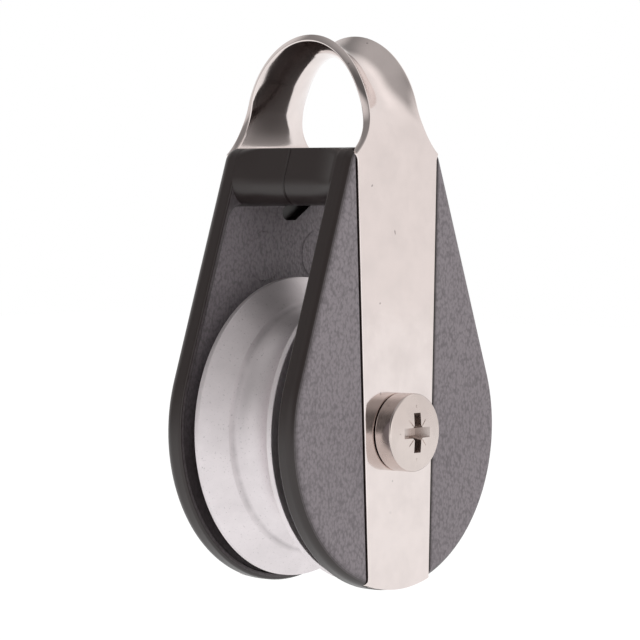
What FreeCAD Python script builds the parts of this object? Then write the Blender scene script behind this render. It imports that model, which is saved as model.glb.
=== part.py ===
import FreeCAD, Part
import math
import os

import Sketcher
from FreeCAD import Placement, Rotation, Vector

# Single pulley block with a fixed eye.
# The sheave turns about the Y axis, whose middle is the origin. +Z points up to the eye.
# The screw head is on the -Y side, and the two cheeks are one moulding used twice.

# Driving dimensions in millimetres and degrees: alias, value, what it sets.
SIZES = [
    ("sheave_radius", 24.0, "radius over the sheave's rims"),
    ("sheave_half_width", 8.0, "from the middle of the groove to a rim's outer face"),
    ("rim_land", 0.9, "width of the flat on each rim"),
    ("rim_round", 0.2, "rounding of the rims' corners"),
    ("ridge_depth", 3.5, "from the rims down to the ridge beside the wire groove"),
    ("groove_radius", 5.0, "radius of the round wire groove"),
    ("groove_turn", 59.3, "half the arc that the wire groove covers, in degrees"),
    ("hub_proud", 1.0, "how far the hub stands out of the sheave's side"),
    ("hub_wall", 3.0, "wall of the sheave's hub round the bush"),
    ("bush_wall", 1.95, "wall of the plain bearing bush"),
    ("sleeve_wall", 1.8, "wall of the axle sleeve"),
    ("screw_radius", 3.0, "thread radius of the axle screw"),
    ("screw_clear", 0.2, "radial clearance of the screw in the sleeve and the strap"),
    ("running_gap", 0.05, "radial clearance of a running fit"),
    ("end_play", 0.1, "axial clearance of the hub to each washer"),
    ("washer_inset", 1.0, "how far a thrust washer's rim lies inside the hub's"),
    ("washer_thick", 1.0, "thickness of a thrust washer"),
    ("rim_cover", 1.0, "how far the cheeks reach past the sheave's rims"),
    ("rope_room", 11.55, "from the sheave's rims up to the head, where the rope passes"),
    ("block_height", 9.05, "height of the head, from its underside to its top"),
    ("side_angle", 19.6, "slope of a cheek's straight side, in degrees from upright"),
    ("shoulder_radius", 2.6, "rounding of a cheek's top corners"),
    ("cheek_thick", 3.5, "thickness of a cheek from its lip to its outer face"),
    ("edge_round", 1.8, "rounding of a cheek's outer edge"),
    ("lip_round", 0.3, "rounding of the outer corner of a cheek's lip"),
    ("lip_width", 1.1, "width of the lip round a cheek's recess"),
    ("recess_depth", 0.6, "depth of the recess inside the lip"),
    ("recess_wall", 0.1, "upright part of the recess's wall, above its rounded foot"),
    ("recess_corner", 3.0, "rounding of the recess's top corners"),
    ("pin_mark_radius", 3.9, "radius of the marks that the mould's pins leave in the recess"),
    ("pin_mark_depth", 0.1, "depth of the pin marks"),
    ("pin_mark_drop", 8.15, "from the head's underside down to the pin marks' centres"),
    ("pin_mark_outer", 8.2, "sideways place of the outer pin mark"),
    ("pin_mark_inner", 4.9, "sideways place of the inner pin mark, on the other side"),
    ("head_inset", 0.6, "how far the head's front lies inside the cheek's outline"),
    ("head_foot_round", 2.0, "rounding of the head's lower front corner at the seam"),
    ("head_top_round", 0.4, "rounding of the head's upper front corner at the seam"),
    ("head_foot_flare", 3.4, "the same lower corner where the head meets the lip"),
    ("blend_start", 5.6, "distance from the seam at which the head starts to flare"),
    ("seam_bevel", 0.15, "bevel along the seam between the two heads"),
    ("slot_offset", 1.4, "sideways place of the core slot's round end"),
    ("slot_radius", 1.25, "radius of the core slot's round end"),
    ("slot_floor", 1.9, "length of the core slot's level floor"),
    ("slot_length", 5.9, "length of the core slot along the head's underside"),
    ("channel_depth", 1.3, "depth of the channel that holds the strap"),
    ("channel_gap", 0.45, "gap between the strap's edge and its channel"),
    ("channel_round", 0.9, "rounding where a cheek's face turns down into the channel"),
    ("strap_thick", 1.3, "thickness of the strap"),
    ("strap_shoulder", 10.1, "half width of the strap at its shoulders"),
    ("strap_top_half", 9.75, "half width of the strap just below its shoulders"),
    ("strap_foot_half", 7.4, "half width of the strap at its foot"),
    ("swell_length", 1.05, "length over which the strap widens to its shoulders"),
    ("foot_setback", 0.15, "how far the strap's round foot lies inside the cheek's end"),
    ("shoulder_drop", 1.0, "from the top of the cheeks down to the strap's shoulders"),
    ("neck_clear", 0.2, "from the top of the cheeks up to where the strap leans in"),
    ("neck_rise", 8.4, "from the shoulders up to the waist, where the edges run upright"),
    ("eye_rise", 5.55, "from the top of the cheeks up to the centre of the eye"),
    ("eye_edge_radius", 12.4, "radius of the eye over its flared edges"),
    ("eye_half_width", 6.1, "half width of the strap round the eye"),
    ("eye_dish", 2.3, "depth of the dish across the eye"),
    ("pan_radius", 6.15, "radius of the screw's pan head"),
    ("pan_height", 3.9, "height of the screw's pan head"),
    ("pan_round", 0.6, "rounding of the pan head's edge"),
    ("cross_length", 6.4, "cross recess, tip to tip"),
    ("cross_width", 1.65, "cross recess, width of an arm"),
    ("cross_depth", 2.4, "cross recess, depth"),
    ("cross_taper", 10.0, "slope of the cross recess's walls, in degrees from upright"),
    ("screw_chamfer", 0.6, "chamfer of the screw's tip"),
    ("nut_half_flats", 5.0, "half the lock nut's width across flats"),
    ("nut_height", 4.4, "height of the lock nut's hexagon"),
    ("collar_height", 1.9, "height of the lock nut's collar"),
    ("collar_step", 0.5, "from the hexagon's flats in to the collar"),
    ("collar_wall", 0.5, "wall of the collar round the nylon ring"),
    ("insert_thick", 1.5, "thickness of the nylon ring"),
    ("screw_past_nut", 1.4, "how far the screw passes the lock nut"),
]

# How finely the strap's loft and the head's flare are sectioned.
NECK_STEPS = 5
ARCH_STEPS = 12
FLARE_SHARES = (0, 0.5, 1)
CUT_PAST = 1    # how far a cut runs past the solid, so that no skin is left
NEAR = 0.01     # how close a point lies to a plane to count as on it

doc = FreeCAD.newDocument("pulley_block")
sheet = doc.addObject("Spreadsheet::Sheet", "sizes")
for row, (alias, number, meaning) in enumerate(SIZES, start=1):
    sheet.set(f"A{row}", alias)
    sheet.set(f"B{row}", str(number))
    sheet.set(f"C{row}", meaning)
    sheet.setAlias(f"B{row}", alias)
doc.recompute()

# Radii and heights that several pieces share, written in terms of the sheet.
SCREW_HOLE = "({screw_radius} + {screw_clear})"
SLEEVE = f"({SCREW_HOLE} + {{sleeve_wall}})"
SLEEVE_FIT = f"({SLEEVE} + {{running_gap}})"
BUSH = f"({SLEEVE_FIT} + {{bush_wall}})"
HUB = f"({BUSH} + {{hub_wall}})"
WASHER = f"({HUB} - {{washer_inset}})"
COLLAR = "({nut_half_flats} - {collar_step})"
CHEEK = "({sheave_radius} + {rim_cover})"
HEAD_LOW = "({sheave_radius} + {rope_room})"
CHEEK_TOP = f"({HEAD_LOW} + {{block_height}})"
FOOT = f"({CHEEK} - {{foot_setback}})"
SHOULDER = f"({CHEEK_TOP} - {{shoulder_drop}})"
WAIST = f"({SHOULDER} + {{neck_rise}})"
EYE = f"({CHEEK_TOP} + {{eye_rise}})"

# Places along the axis that several pieces share.
HUB_FACE = "({sheave_half_width} + {hub_proud})"
LIP = f"({HUB_FACE} + {{end_play}} + {{washer_thick}})"
OUTER = f"({LIP} + {{cheek_thick}})"
STRAP_IN = f"({OUTER} - {{channel_depth}})"
STRAP_OUT = f"({STRAP_IN} + {{strap_thick}})"
NUT_TOP = f"({STRAP_OUT} + {{nut_height}} + {{collar_height}})"
COS = "cos({side_angle} * 1 deg)"
SIN = "sin({side_angle} * 1 deg)"


def cells(text):
    """Turns {name} into a reference to the sheet's cell of that name."""
    return text.replace("{", "sizes.").replace("}", "")


def size(text):
    """The present value of an expression in the sheet's names."""
    return float(sheet.evalExpression(cells(text)))


def new_body(name):
    body = doc.addObject("PartDesign::Body", name)
    body.Label = name
    return body


def new_sketch(body, name, role, offset="0"):
    """A sketch on one of the body's own origin planes, moved along the plane's normal."""
    plane = next(item for item in body.Origin.OriginFeatures if item.Role == role)
    sketch = body.newObject("Sketcher::SketchObject", name)
    sketch.AttachmentSupport = [(plane, "")]
    sketch.MapMode = "FlatFace"
    sketch.setExpression("AttachmentOffset.Base.z", cells(offset))
    return sketch


def bind_point(sketch, edge, end, x_text, y_text):
    """Ties one end of a sketch edge to two expressions, measured from the sketch's origin."""
    for kind, text in (("DistanceX", x_text), ("DistanceY", y_text)):
        place = sketch.addConstraint(Sketcher.Constraint(kind, -1, 1, edge, end, size(text)))
        sketch.setExpression(f"Constraints[{place}]", cells(text))


def draw_outline(sketch, corners, arcs=None):
    """A closed outline through the corners. arcs holds, for the edge that leaves a corner,
    the arc's centre x, centre y, radius and whether it turns anticlockwise."""
    arcs = arcs or {}
    points = [Vector(size(x), size(y), 0) for x, y in corners]
    first = sketch.GeometryCount
    ends = []
    for index, start in enumerate(points):
        finish = points[(index + 1) % len(points)]
        if index not in arcs:
            sketch.addGeometry(Part.LineSegment(start, finish), False)
            ends.append((1, 2))
            continue
        centre_x, centre_y, radius, anticlockwise = arcs[index]
        centre = Vector(size(centre_x), size(centre_y), 0)
        circle = Part.Circle(centre, Vector(0, 0, 1), size(radius))
        low, high = (start, finish) if anticlockwise else (finish, start)
        turn = [math.atan2(point.y - centre.y, point.x - centre.x) for point in (low, high)]
        edge = sketch.addGeometry(Part.ArcOfCircle(circle, turn[0], turn[1]), False)
        place = sketch.addConstraint(Sketcher.Constraint("Radius", edge, size(radius)))
        sketch.setExpression(f"Constraints[{place}]", cells(radius))
        ends.append((1, 2) if anticlockwise else (2, 1))
    count = len(points)
    for index in range(count):
        after = (index + 1) % count
        sketch.addConstraint(Sketcher.Constraint(
            "Coincident", first + index, ends[index][1], first + after, ends[after][0]))
        bind_point(sketch, first + index, ends[index][0], *corners[index])


def draw_circle(sketch, radius, x_text="0", y_text="0"):
    circle = Part.Circle(Vector(size(x_text), size(y_text), 0), Vector(0, 0, 1), size(radius))
    edge = sketch.addGeometry(circle, False)
    place = sketch.addConstraint(Sketcher.Constraint("Radius", edge, size(radius)))
    sketch.setExpression(f"Constraints[{place}]", cells(radius))
    bind_point(sketch, edge, 3, x_text, y_text)


def extrude(body, kind, sketch, length, reverse=False):
    """A Pad or a Pocket of the sketch, with its length bound to the sheet."""
    feature = body.newObject(f"PartDesign::{kind}", f"{kind}_{sketch.Name}")
    feature.Profile = sketch
    feature.Reversed = reverse
    feature.setExpression("Length", cells(length))
    doc.recompute()
    return feature


def revolve(body, sketch):
    """Turns the sketch a full circle about its horizontal axis, which is the block's axis."""
    feature = body.newObject("PartDesign::Revolution", f"Turned_{sketch.Name}")
    feature.Profile = sketch
    feature.ReferenceAxis = (sketch, ["H_Axis"])
    feature.Angle = 360
    doc.recompute()
    return feature


def edges_where(feature, test):
    """Names of the feature's edges whose every vertex and middle point pass the test."""
    names = []
    for number, edge in enumerate(feature.Shape.Edges, start=1):
        middle = edge.valueAt((edge.FirstParameter + edge.LastParameter) / 2)
        points = [vertex.Point for vertex in edge.Vertexes] + [middle]
        if all(test(point) for point in points):
            names.append(f"Edge{number}")
    return names


def round_edges(body, name, base, test, radius):
    feature = body.newObject("PartDesign::Fillet", name)
    feature.Base = (base, edges_where(base, test))
    feature.setExpression("Radius", cells(radius))
    doc.recompute()
    return feature


def ring(name, inner, outer, near, far):
    """A plain ring about the axis, from near to far along +Y."""
    body = new_body(name)
    sketch = new_sketch(body, f"{name}_section", "YZ_Plane")
    draw_outline(sketch, [(near, inner), (far, inner), (far, outer), (near, outer)])
    revolve(body, sketch)
    return body


# Sheave: two rims, a rope cone inside each, a ridge, and a round wire groove in the middle.
def make_sheave():
    body = new_body("sheave")
    sketch = new_sketch(body, "sheave_section", "YZ_Plane")
    wide, rim = "{sheave_half_width}", "{sheave_radius}"
    land, ridge = f"({wide} - {{rim_land}})", f"({rim} - {{ridge_depth}})"
    ridge_place = "({groove_radius} * sin({groove_turn} * 1 deg))"
    groove_centre = f"({ridge} + {{groove_radius}} * cos({{groove_turn}} * 1 deg))"
    corners = [
        (f"-{HUB_FACE}", BUSH), (HUB_FACE, BUSH), (HUB_FACE, HUB), (wide, HUB),
        (wide, f"{rim} - {{rim_round}}"), (f"{wide} - {{rim_round}}", rim),
        (land, rim), (ridge_place, ridge), (f"-{ridge_place}", ridge), (f"-{land}", rim),
        (f"-{wide} + {{rim_round}}", rim), (f"-{wide}", f"{rim} - {{rim_round}}"),
        (f"-{wide}", HUB), (f"-{HUB_FACE}", HUB),
    ]
    inside = (f"{wide} - {{rim_round}}", f"{rim} - {{rim_round}}")
    arcs = {
        4: (*inside, "{rim_round}", True),
        7: ("0", groove_centre, "{groove_radius}", False),
        10: (f"-({inside[0]})", inside[1], "{rim_round}", True),
    }
    draw_outline(sketch, corners, arcs)
    revolve(body, sketch)
    return body


# A cheek's outline: a round end, two straight sides and a flat top with round shoulders.
def teardrop(radius, top, corner):
    """Corners and arcs of the outline with the given round end, top height and top corners."""
    centre_z = f"({top} - {corner})"
    centre_x = f"(({radius} - {corner} - {centre_z} * {SIN}) / {COS})"
    side_x = f"({centre_x} + {corner} * {COS})"
    side_z = f"({centre_z} + {corner} * {SIN})"
    corners = [
        (f"-{radius} * {COS}", f"{radius} * {SIN}"), (f"{radius} * {COS}", f"{radius} * {SIN}"),
        (side_x, side_z), (centre_x, top), (f"-{centre_x}", top), (f"-{side_x}", side_z),
    ]
    arcs = {
        0: ("0", "0", radius, True),
        2: (centre_x, centre_z, corner, True),
        4: (f"-{centre_x}", centre_z, corner, True),
    }
    return corners, arcs


def head_section(inset, top_corner, foot_corner):
    """The head's outline inset from the cheek's: sloping sides, a flat top and underside."""
    side = f"({CHEEK} - {inset})"
    top_z = f"({CHEEK_TOP} - {top_corner})"
    top_x = f"(({side} - {top_corner} - {top_z} * {SIN}) / {COS})"
    foot_z = f"({HEAD_LOW} + {foot_corner})"
    foot_x = f"(({side} - {foot_corner} - {foot_z} * {SIN}) / {COS})"
    corners = [
        (f"-{foot_x}", HEAD_LOW), (foot_x, HEAD_LOW),
        (f"{foot_x} + {foot_corner} * {COS}", f"{foot_z} + {foot_corner} * {SIN}"),
        (f"{top_x} + {top_corner} * {COS}", f"{top_z} + {top_corner} * {SIN}"),
        (top_x, CHEEK_TOP), (f"-{top_x}", CHEEK_TOP),
        (f"-({top_x} + {top_corner} * {COS})", f"{top_z} + {top_corner} * {SIN}"),
        (f"-({foot_x} + {foot_corner} * {COS})", f"{foot_z} + {foot_corner} * {SIN}"),
    ]
    arcs = {
        1: (foot_x, foot_z, foot_corner, True),
        3: (top_x, top_z, top_corner, True),
        5: (f"-{top_x}", top_z, top_corner, True),
        7: (f"-{foot_x}", foot_z, foot_corner, True),
    }
    return corners, arcs


# How fast the strap's legs narrow downwards.
STRAP_SLOPE = f"(({{strap_top_half}} - {{strap_foot_half}}) / ({SHOULDER} + {FOOT}))"


def channel_half(height):
    """Half width of the channel at a height: the strap's leg and the gap beside it."""
    return f"({{strap_top_half}} + {{channel_gap}} - ({SHOULDER} - ({height})) * {STRAP_SLOPE})"


def make_plate(body, name):
    """The cheek's plate with its rounded edges, and the recess that clears the sheave."""
    outline = new_sketch(body, f"{name}_outline", "XZ_Plane", LIP)
    draw_outline(outline, *teardrop(CHEEK, CHEEK_TOP, "{shoulder_radius}"))
    plate = extrude(body, "Pad", outline, "{cheek_thick}")
    outer, lip = size(OUTER), size(LIP)

    def on_face(point):
        return math.isclose(point.y, -outer, abs_tol=NEAR)

    def on_lip(point):
        return math.isclose(point.y, -lip, abs_tol=NEAR)

    plate = round_edges(body, f"{name}_outer_round", plate, on_face, "{edge_round}")
    round_edges(body, f"{name}_lip_round", plate, on_lip, "{lip_round}")

    recess = new_sketch(body, f"{name}_recess", "XZ_Plane", LIP)
    draw_outline(recess, *teardrop(f"({CHEEK} - {{lip_width}})", HEAD_LOW, "{recess_corner}"))
    draw_circle(recess, HUB)
    bowl = extrude(body, "Pocket", recess, "{recess_depth}", True)
    floor, inside = size(f"{LIP} + {{recess_depth}}"), size(f"{HUB} + {CUT_PAST}")

    def on_floor_rim(point):
        level = math.isclose(point.y, -floor, abs_tol=NEAR)
        return level and math.hypot(point.x, point.z) > inside

    round_edges(body, f"{name}_recess_round", bowl, on_floor_rim,
                "{recess_depth} - {recess_wall}")
    marks = new_sketch(body, f"{name}_pin_marks", "XZ_Plane", f"{LIP} + {{recess_depth}}")
    for place in ("-{pin_mark_outer}", "{pin_mark_inner}"):
        draw_circle(marks, "{pin_mark_radius}", place, f"({HEAD_LOW} - {{pin_mark_drop}})")
    extrude(body, "Pocket", marks, "{pin_mark_depth}", True)


def make_half_head(body, name):
    """Half of the head: straight from the bevelled seam, then flaring out to the lip.
    Its root reaches past the lip's rounding, so that no groove is left between them."""
    face = new_sketch(body, f"{name}_seam_face", "XZ_Plane", "0")
    draw_outline(face, *head_section(
        "({head_inset} + {seam_bevel})", "({head_top_round} - {seam_bevel})",
        "({head_foot_round} - {seam_bevel})"))
    extrude(body, "Pad", face, "{blend_start}")
    straight = new_sketch(body, f"{name}_head", "XZ_Plane", "{seam_bevel}")
    draw_outline(straight, *head_section("{head_inset}", "{head_top_round}",
                                         "{head_foot_round}"))
    extrude(body, "Pad", straight, "{blend_start} - {seam_bevel}")
    sections = []
    for number, share in enumerate(FLARE_SHARES):
        place = f"({{blend_start}} + ({LIP} - {{blend_start}}) * {share})"
        near_seam, near_lip = 1 - share ** 2, share ** 2
        top = f"({{head_top_round}} * {near_seam} + {{shoulder_radius}} * {near_lip})"
        foot = f"({{head_foot_round}} * {near_seam} + {{head_foot_flare}} * {near_lip})"
        step = new_sketch(body, f"{name}_flare_{number}", "XZ_Plane", place)
        draw_outline(step, *head_section(f"({{head_inset}} * {near_seam})", top, foot))
        sections.append(step)
    flare = body.newObject("PartDesign::AdditiveLoft", f"{name}_flare")
    flare.Profile = sections[0]
    flare.Sections = sections[1:]
    doc.recompute()
    root = new_sketch(body, f"{name}_head_root", "XZ_Plane", LIP)
    draw_outline(root, *head_section("0", "{shoulder_radius}", "{head_foot_flare}"))
    extrude(body, "Pad", root, "2 * {lip_round}")


def cut_channel(body, name):
    """The channel for the strap's leg, with the cheek's face rounded down into it."""
    channel = new_sketch(body, f"{name}_channel", "XZ_Plane", OUTER)
    low, high = f"(-{CHEEK} - {CUT_PAST})", f"({CHEEK_TOP} + {CUT_PAST})"
    low_half, high_half = channel_half(low), channel_half(high)
    draw_outline(channel, [(f"-{low_half}", low), (low_half, low),
                           (high_half, high), (f"-{high_half}", high)])
    extrude(body, "Pocket", channel, "{channel_depth}")

    lean = f"atan({STRAP_SLOPE})"
    above, arc_y = f"(-{OUTER} - {CUT_PAST})", f"({{channel_round}} - {OUTER})"
    for side, out, back in (("left", "-", ""), ("right", "", "-")):
        edge = new_sketch(body, f"{name}_channel_{side}", "XY_Plane")
        edge.AttachmentOffset = Placement(Vector(), Rotation(Vector(0, 1, 0), size(f"{out}{lean}")))
        edge.setExpression("AttachmentOffset.Rotation.Angle", cells(f"{out}{lean}"))
        edge.setExpression("AttachmentOffset.Base.x", cells(f"{out}{channel_half('0')}"))
        wide, inside = f"{out}{{channel_round}}", f"{back}{{channel_gap}}"
        draw_outline(edge, [("0", arc_y), (wide, f"-{OUTER}"), (wide, above),
                            (inside, above), (inside, arc_y)],
                     {0: (wide, arc_y, "{channel_round}", side == "right")})
        corner = extrude(body, "Pocket", edge, f"2 * {high}")
        corner.Midplane = True
        doc.recompute()


def make_cheek(name, turn):
    """One cheek with its half of the head. turn is its rotation about Z in degrees."""
    body = new_body(name)
    make_plate(body, name)
    make_half_head(body, name)
    cut_channel(body, name)

    hole = new_sketch(body, f"{name}_axle_hole", "XZ_Plane", OUTER)
    draw_circle(hole, SLEEVE_FIT)
    extrude(body, "Pocket", hole, f"{{cheek_thick}} + {CUT_PAST}")

    slot = new_sketch(body, f"{name}_core_slot", "XZ_Plane", OUTER)
    round_x, round_z = "-{slot_offset}", f"({HEAD_LOW} - {{slot_radius}})"
    quarter = (round_x, round_z, "{slot_radius}", False)
    draw_outline(slot, [
        (round_x, HEAD_LOW), (f"{round_x} + {{slot_radius}}", round_z),
        (round_x, f"{round_z} - {{slot_radius}}"),
        (f"{round_x} - {{slot_floor}}", f"{round_z} - {{slot_radius}}"),
        (f"{round_x} - {{slot_length}}", HEAD_LOW),
    ], {0: quarter, 1: quarter})
    extrude(body, "Pocket", slot, "{cheek_thick}")
    body.Placement = Placement(Vector(0, 0, 0), Rotation(Vector(0, 0, 1), turn))
    return body


# Strap: one strip of sheet, folded over into a dished eye, with a flat leg down each cheek.
def smooth(share):
    """Rises from 0 to 1 with no slope at either end."""
    return share * share * (3 - 2 * share)


def eye_wire(half_width, edge_out, dish, thick, centre, out, sideways):
    """One section of the strip: two arcs about one centre, or two lines where it is flat."""
    if dish <= 0:
        corners = [centre + out * depth + sideways * side for side, depth in (
            (-half_width, edge_out), (half_width, edge_out),
            (half_width, edge_out - thick), (-half_width, edge_out - thick))]
        return Part.makePolygon(corners + corners[:1])
    bend = (half_width ** 2 + dish ** 2) / (2 * dish)
    middle = centre + out * (edge_out - dish + bend)
    edge_turn = math.asin(half_width / bend)

    def at(radius, turn):
        return middle - out * (radius * math.cos(turn)) + sideways * (radius * math.sin(turn))

    outer = Part.Arc(at(bend, -edge_turn), at(bend, 0), at(bend, edge_turn)).toShape()
    inner = Part.Arc(at(bend + thick, edge_turn), at(bend + thick, 0),
                     at(bend + thick, -edge_turn)).toShape()
    right = Part.LineSegment(at(bend, edge_turn), at(bend + thick, edge_turn)).toShape()
    left = Part.LineSegment(at(bend + thick, -edge_turn), at(bend, -edge_turn)).toShape()
    return Part.Wire([outer, right, inner, left])


def neck_half_width(height):
    """Half width of the strip: an arc from the shoulder in to the waist, then straight."""
    waist, waist_z = size("{eye_half_width}"), size(WAIST)
    rise = size("{neck_rise}")
    run = size("{strap_shoulder}") - waist
    radius = (rise ** 2 + run ** 2) / (2 * run)
    below = max(0.0, waist_z - height)
    return waist + radius - math.sqrt(radius ** 2 - below ** 2)


def make_eye():
    """The dished strip from one shoulder over the eye to the other, through its sections."""
    thick, centre_z = size("{strap_thick}"), size(EYE)
    low, leg_out = size(SHOULDER), size(STRAP_OUT)
    edge, dish = size("{eye_edge_radius}"), size("{eye_dish}")
    sideways = Vector(1, 0, 0)
    lean_from = size(f"{CHEEK_TOP} + {{neck_clear}}")
    neck = [(low, leg_out, 0), ((low + lean_from) / 2, leg_out, 0)]
    for step in range(NECK_STEPS):
        share = step / NECK_STEPS
        height = lean_from + (centre_z - lean_from) * share
        neck.append((height, leg_out + (edge - leg_out) * smooth(share),
                     dish * smooth(share)))
    wires = [eye_wire(neck_half_width(height), out, depth, thick, Vector(0, 0, height),
                      Vector(0, -1, 0), sideways) for height, out, depth in neck]
    for step in range(ARCH_STEPS + 1):
        turn = math.pi * step / ARCH_STEPS
        out = Vector(0, -math.cos(turn), math.sin(turn))
        width = neck_half_width(centre_z + edge * math.sin(turn))
        wires.append(eye_wire(width, edge, dish, thick, Vector(0, 0, centre_z), out, sideways))
    for height, out, depth in reversed(neck):
        wires.append(eye_wire(neck_half_width(height), out, depth, thick,
                              Vector(0, 0, height), Vector(0, 1, 0), sideways))
    return Part.makeLoft(wires, True, False)


def make_leg(side):
    """A flat leg with a straight taper, a round foot and the screw's hole. side is -1 or 1."""
    foot, foot_x = size(FOOT), size("{strap_foot_half}")
    foot_z = -math.sqrt(foot ** 2 - foot_x ** 2)
    top_z, top_x, widest = size(SHOULDER), size("{strap_top_half}"), size("{strap_shoulder}")
    inner = size(STRAP_IN) * side
    swell_z = top_z - size("{swell_length}")

    def point(x, z):
        return Vector(x, inner, z)

    sides = [point(foot_x, foot_z), point(top_x, swell_z), point(widest, top_z),
             point(-widest, top_z), point(-top_x, swell_z), point(-foot_x, foot_z)]
    edges = [Part.LineSegment(a, b).toShape() for a, b in zip(sides, sides[1:])]
    edges.append(Part.Arc(sides[-1], point(0, -foot), sides[0]).toShape())
    thick = size("{strap_thick}")
    plate = Part.Face(Part.Wire(edges)).extrude(Vector(0, thick * side, 0))
    bottom = inner if side > 0 else inner - thick
    hole = Part.makeCylinder(size(SCREW_HOLE), thick + 2 * CUT_PAST,
                             Vector(0, bottom - CUT_PAST, 0), Vector(0, 1, 0))
    return plate.cut(hole)


def make_strap():
    strap = doc.addObject("Part::Feature", "strap")
    strap.Label = "strap"
    strap.Shape = make_eye().fuse([make_leg(-1), make_leg(1)]).removeSplitter()
    strap.Placement = Placement()
    return strap


# Axle screw: pan head with a cross recess, on the -Y side.
def make_screw():
    body = new_body("axle_screw")
    sketch = new_sketch(body, "axle_screw_section", "YZ_Plane")
    face, under = f"(-{STRAP_OUT} - {{pan_height}})", f"(-{STRAP_OUT})"
    end = f"({NUT_TOP} + {{screw_past_nut}})"
    corners = [
        (face, "0"), (end, "0"), (end, "{screw_radius} - {screw_chamfer}"),
        (f"{end} - {{screw_chamfer}}", "{screw_radius}"), (under, "{screw_radius}"),
        (under, "{pan_radius}"), (f"{face} + {{pan_round}}", "{pan_radius}"),
        (face, "{pan_radius} - {pan_round}"),
    ]
    arcs = {6: (f"{face} + {{pan_round}}", "{pan_radius} - {pan_round}", "{pan_round}", True)}
    draw_outline(sketch, corners, arcs)
    revolve(body, sketch)
    recess = new_sketch(body, "axle_screw_recess", "XZ_Plane", f"{STRAP_OUT} + {{pan_height}}")
    long, half = "(0.5 * {cross_length})", "(0.5 * {cross_width})"
    draw_outline(recess, [
        (long, f"-{half}"), (long, half), (half, half), (half, long), (f"-{half}", long),
        (f"-{half}", half), (f"-{long}", half), (f"-{long}", f"-{half}"),
        (f"-{half}", f"-{half}"), (f"-{half}", f"-{long}"), (half, f"-{long}"),
        (half, f"-{half}"),
    ])
    cross = extrude(body, "Pocket", recess, "{cross_depth}")
    cross.setExpression("TaperAngle", cells("-{cross_taper} * 1 deg"))
    doc.recompute()
    return body


# Lock nut on the +Y side: hexagon, and a collar that holds the nylon ring.
def make_nut():
    body = new_body("lock_nut")
    hexagon = new_sketch(body, "lock_nut_hexagon", "XZ_Plane", STRAP_OUT)
    far, half = "(2 * {nut_half_flats} / sqrt(3))", "({nut_half_flats} / sqrt(3))"
    flats = "{nut_half_flats}"
    draw_outline(hexagon, [(far, "0"), (half, flats), (f"-{half}", flats),
                           (f"-{far}", "0"), (f"-{half}", f"-{flats}"), (half, f"-{flats}")])
    extrude(body, "Pad", hexagon, "{nut_height}")
    collar = new_sketch(body, "lock_nut_collar", "XZ_Plane", STRAP_OUT)
    draw_circle(collar, COLLAR)
    extrude(body, "Pad", collar, "{nut_height} + {collar_height}")
    bore = new_sketch(body, "lock_nut_bore", "XZ_Plane", NUT_TOP)
    draw_circle(bore, "{screw_radius}")
    extrude(body, "Pocket", bore, f"{{nut_height}} + {{collar_height}} + {CUT_PAST}")
    seat = new_sketch(body, "lock_nut_seat", "XZ_Plane", NUT_TOP)
    draw_circle(seat, f"{COLLAR} - {{collar_wall}}")
    extrude(body, "Pocket", seat, "{insert_thick}")
    body.Placement = Placement(Vector(0, 0, 0), Rotation(Vector(0, 0, 1), 180))
    return body


pieces = [
    make_sheave(),
    ring("sheave_bush", SLEEVE_FIT, BUSH, f"-{HUB_FACE}", HUB_FACE),
    ring("axle_sleeve", SCREW_HOLE, SLEEVE, f"-{STRAP_IN}", STRAP_IN),
    ring("thrust_washer_near", SLEEVE_FIT, WASHER, f"-{LIP}", f"-{LIP} + {{washer_thick}}"),
    ring("thrust_washer_far", SLEEVE_FIT, WASHER, f"{LIP} - {{washer_thick}}", LIP),
    make_cheek("near_cheek", 0),
    make_cheek("far_cheek", 180),
    make_strap(),
    make_screw(),
    make_nut(),
    ring("nut_insert", "{screw_radius}", f"{COLLAR} - {{collar_wall}}",
         f"{NUT_TOP} - {{insert_thick}}", NUT_TOP),
]

doc.recompute()
for item in doc.Objects:
    if "Invalid" in item.State or "Error" in item.State:
        raise RuntimeError(f"{item.Name} failed: {item.State}")
for piece in pieces:
    if piece.Shape.isNull() or not piece.Shape.isValid() or len(piece.Shape.Solids) != 1:
        raise RuntimeError(f"{piece.Label} has no single valid solid")

os.makedirs("parts", exist_ok=True)
for piece in pieces:
    piece.Shape.exportStep(os.path.join("parts", f"{piece.Label}.step"))
    box = piece.Shape.BoundBox
    print(f"{piece.Label}: volume {piece.Shape.Volume:.1f}, x {box.XMin:.2f} {box.XMax:.2f}, "
          f"y {box.YMin:.2f} {box.YMax:.2f}, z {box.ZMin:.2f} {box.ZMax:.2f}")
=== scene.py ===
"""Looks of a single pulley block with a dished fixed eye, laid out as a Blender add-on.

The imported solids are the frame. Each visible piece is a surface worked out with numpy at the
same place and size, in metres, with +Y along the axle and +Z up to the eye.
"""
import math

import bpy
import numpy as np
from mathutils import Matrix, Vector


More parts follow.
